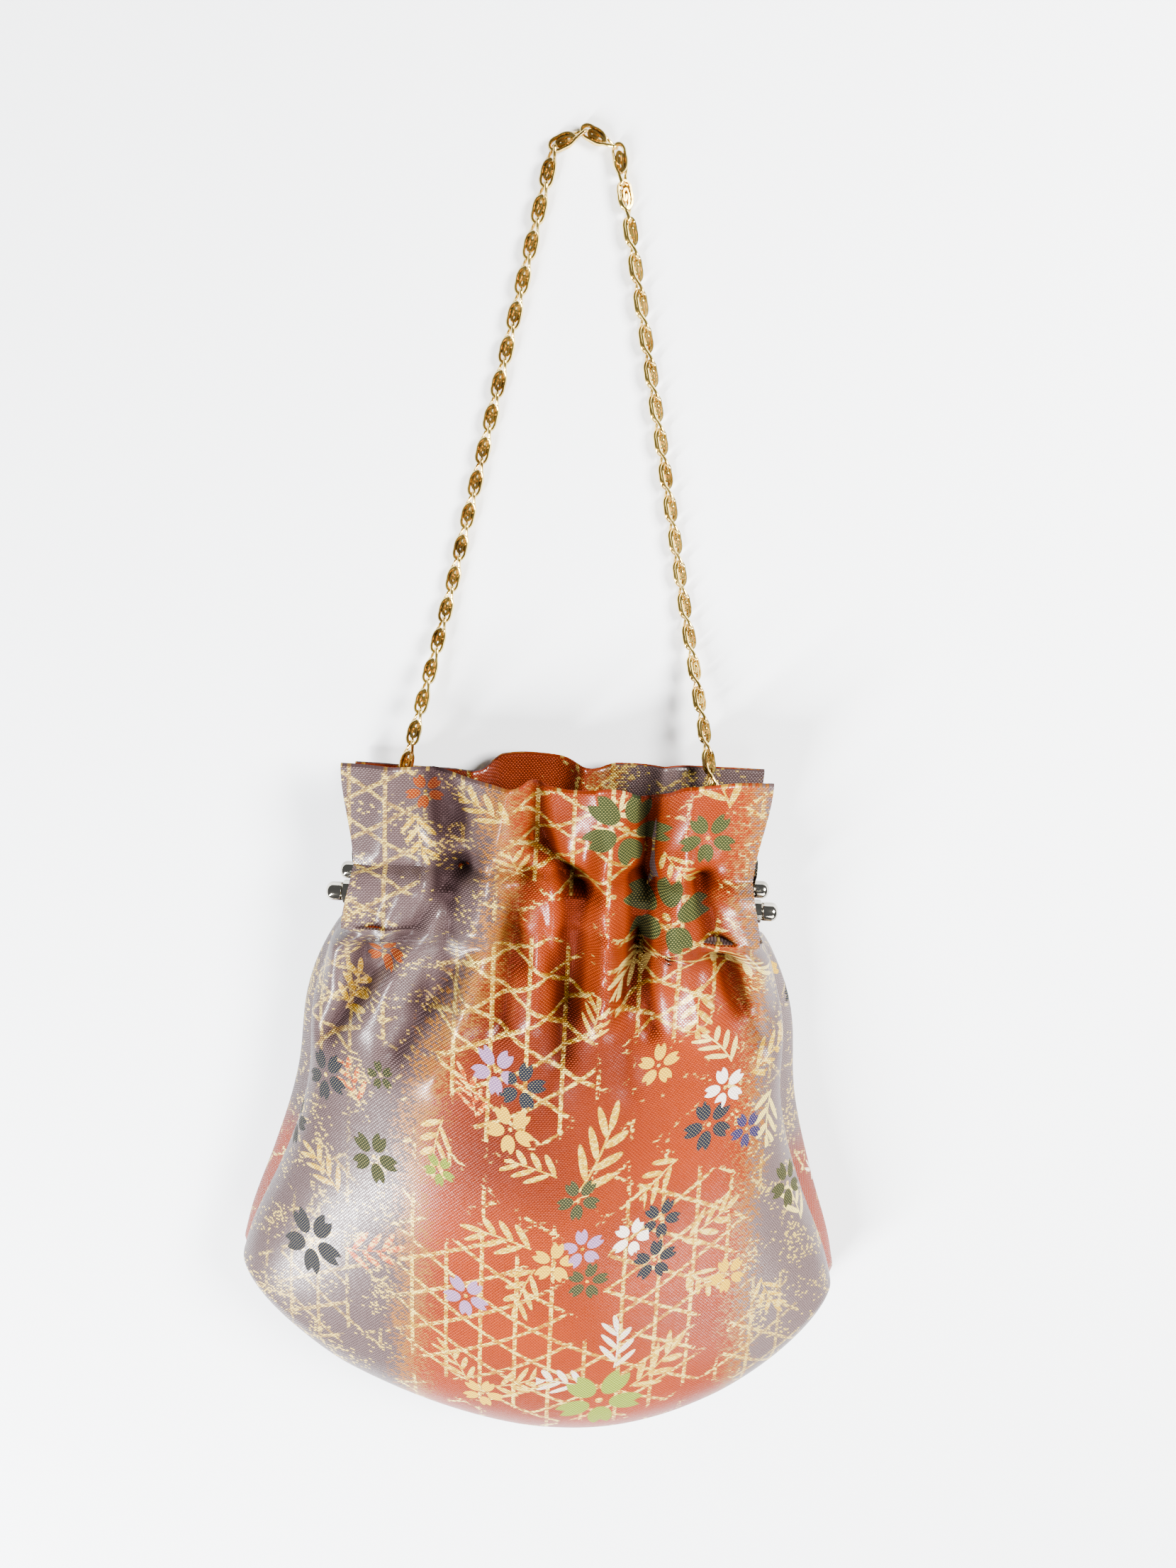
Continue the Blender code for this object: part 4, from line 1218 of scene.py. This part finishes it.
for word, side, body in (("front", FRONT, "front_frame"), ("back", BACK, "bag")):
    centre = (0, ROD_LEVEL, SEAM_LEVEL + side * ROD_SPACING / 2)
    rod = knob_profile(-1)[::-1] + [(-SHOULDER, ROD_RADIUS), (SHOULDER, ROD_RADIUS), (SHOULDER, 0)]
    turned(word + "_rod_bar", rod, centre, body, word + "_rod")
    turned(word + "_knob", [(SHOULDER, 0)] + knob_profile(1), centre, body, word + "_rod_nut")

for name, node in frame["nodes"].items():
    if name.startswith(("front_arm", "back_arm", "hinge_pin")):
        for place in node.material_slots:
            place.material = nickel


# Chain

LEAN_ROUNDS = 20
MERGE_WIRE = 0.000004

# Middle line of a link's coil, in half lengths from its middle and half widths across
COIL = (
    (-0.05, 0.05), (0.30, -0.05), (0.42, -0.30), (0.10, -0.42), (-0.30, -0.30), (-0.42, 0.05),
    (-0.20, 0.42), (0.40, 0.40), (0.88, 0.10), (1.0, -0.20), (0.90, 0.50), (0.45, 1.0), (-0.20, 1.0),
    (-0.70, 0.90), (-1.0, 0.35), (-1.0, -0.35), (-0.70, -0.90), (0.0, -1.0),
)


def link_points():
    """Middle line of one scroll link: inner coil, outer coil, leg, bend, and back."""
    half = COIL_LENGTH / 2
    middle = LINK_TAIL + half
    w = COIL_HALF_WIDTH
    front = [(middle + half * along, w * across, COIL_OFFSET) for along, across in COIL]
    front += [
        (middle + half * 0.60, -w * 0.95, COIL_OFFSET * 1.2),
        (middle + half + 0.0004, -w * 0.62, BEND_OFFSET * 0.7),
        (LINK_PITCH - 0.0010, -w * 0.38, BEND_OFFSET),
        (LINK_PITCH - 0.0002, -w * 0.26, BEND_OFFSET * 0.95),
        (LINK_PITCH, -w * 0.20, BEND_OFFSET * 0.5),
    ]
    return front + [(x, -y, -z) for x, y, z in reversed(front)]


def link_mesh():
    wire = bpy.data.curves.new("scroll_wire", "CURVE")
    wire.dimensions = "3D"
    wire.bevel_depth = WIRE_RADIUS
    wire.bevel_resolution = 1
    wire.use_fill_caps = True
    wire.resolution_u = 3
    line = wire.splines.new("BEZIER")
    points = link_points()
    line.bezier_points.add(len(points) - 1)
    for point, place in zip(line.bezier_points, points):
        point.co = place
        point.handle_left_type = "AUTO"
        point.handle_right_type = "AUTO"
    curve = placed("scroll_wire", wire)
    mesh = evaluated_mesh(curve)
    bpy.data.objects.remove(curve, do_unlink=True)
    bm = bmesh.new()
    bm.from_mesh(mesh)
    bmesh.ops.remove_doubles(bm, verts=bm.verts, dist=MERGE_WIRE)
    bmesh.ops.recalc_face_normals(bm, faces=bm.faces)
    bm.to_mesh(mesh)
    bm.free()
    return mesh


def heading(angle):
    return Vector((math.sin(angle), math.cos(angle), 0))


def strand_lean():
    """How far each strand leans inwards, so that the links on top just span what is left."""
    half_gap = 0.0
    lean = 0.0
    for _ in range(LEAN_ROUNDS):
        lean = math.asin((MOUTH_HALF_GAP - half_gap) / (LINKS_A_SIDE * LINK_PITCH))
        turn = (math.pi - 2 * lean) / (LINKS_ON_TOP + 1)
        half_gap = LINK_PITCH * math.cos(math.pi / 2 - lean - turn)
    return lean


def chain_joints():
    """Places where one link hooks the next, from the left ear over the top to the right."""
    lean = strand_lean()
    turn = (math.pi - 2 * lean) / (LINKS_ON_TOP + 1)
    inside = math.asin((EAR_HALF_GAP - MOUTH_HALF_GAP) / (LINKS_INSIDE * LINK_PITCH))
    mouth = Vector((-MOUTH_HALF_GAP, ROD_LEVEL + RIM_RISE - CHAIN_BELOW_RIM, CHAIN_LEVEL))
    forward = heading(inside) * LINK_PITCH
    left = [mouth - forward * (LINKS_INSIDE - n) for n in range(LINKS_INSIDE + 1)]
    for n in range(LINKS_A_SIDE):
        share = DESCENT[n] / sum(DESCENT) if n < len(DESCENT) else 0.0
        fall = math.asin((CHAIN_LEVEL - CHAIN_ON_FLOOR) * share / LINK_PITCH)
        ahead = heading(lean) * math.cos(fall) - Vector((0, 0, math.sin(fall)))
        left.append(left[-1] + ahead * LINK_PITCH)
    for n in range(LINKS_ON_TOP // 2):
        angle = math.pi / 2 - lean - turn * (n + 1)
        left.append(left[-1] + Vector((math.cos(angle), math.sin(angle), 0)) * LINK_PITCH)
    return left + [Vector((-p.x, p.y, p.z)) for p in reversed(left[:-1])]


def link_twist(number):
    """Turn of a link about the chain: none on the left, and towards its edge past the top."""
    turning = number - LINKS_INSIDE - LINKS_A_SIDE - LINKS_ON_TOP
    inside = turning - LINKS_A_SIDE + 1
    return min(max(turning, 0) * TWIST_STEP, TWIST_OUTSIDE) + max(inside, 0) * TWIST_INSIDE


def make_chain():
    bodies = frame["record"]["behaviour"]["bodies"]
    body_with = {node: body for body, nodes in bodies.items() for node in nodes}
    pattern = link_mesh()
    joints = chain_joints()
    for number, (start, end) in enumerate(zip(joints, joints[1:])):
        along = (end - start).normalized()
        across = Vector((0, 0, 1)).cross(along).normalized()
        turn = Matrix((along, across, along.cross(across))).transposed().to_4x4()
        turn.translation = start
        mesh = pattern.copy()
        mesh.transform(turn @ Matrix.Rotation(-link_twist(number), 4, "X"))
        shade_smooth(mesh, SHARP_SOFT)
        count = f"{number + 1:02d}"
        node = "chain_link_" + count
        add_piece("scroll_link_" + count, mesh, gold_plate, body_with[node], "gold_plate", node)
    bpy.data.meshes.remove(pattern)


make_chain()


# Floor

FLOOR_HALF_SIZE = 2.5


def make_floor():
    bm = bmesh.new()
    bmesh.ops.create_grid(bm, x_segments=1, y_segments=1, size=FLOOR_HALF_SIZE)
    mesh = finished(bm, "floor")
    floor = placed("floor", mesh)
    finish = Finish("backdrop", BACKDROP, 0.8)
    mesh.materials.append(finish.material)


make_floor()
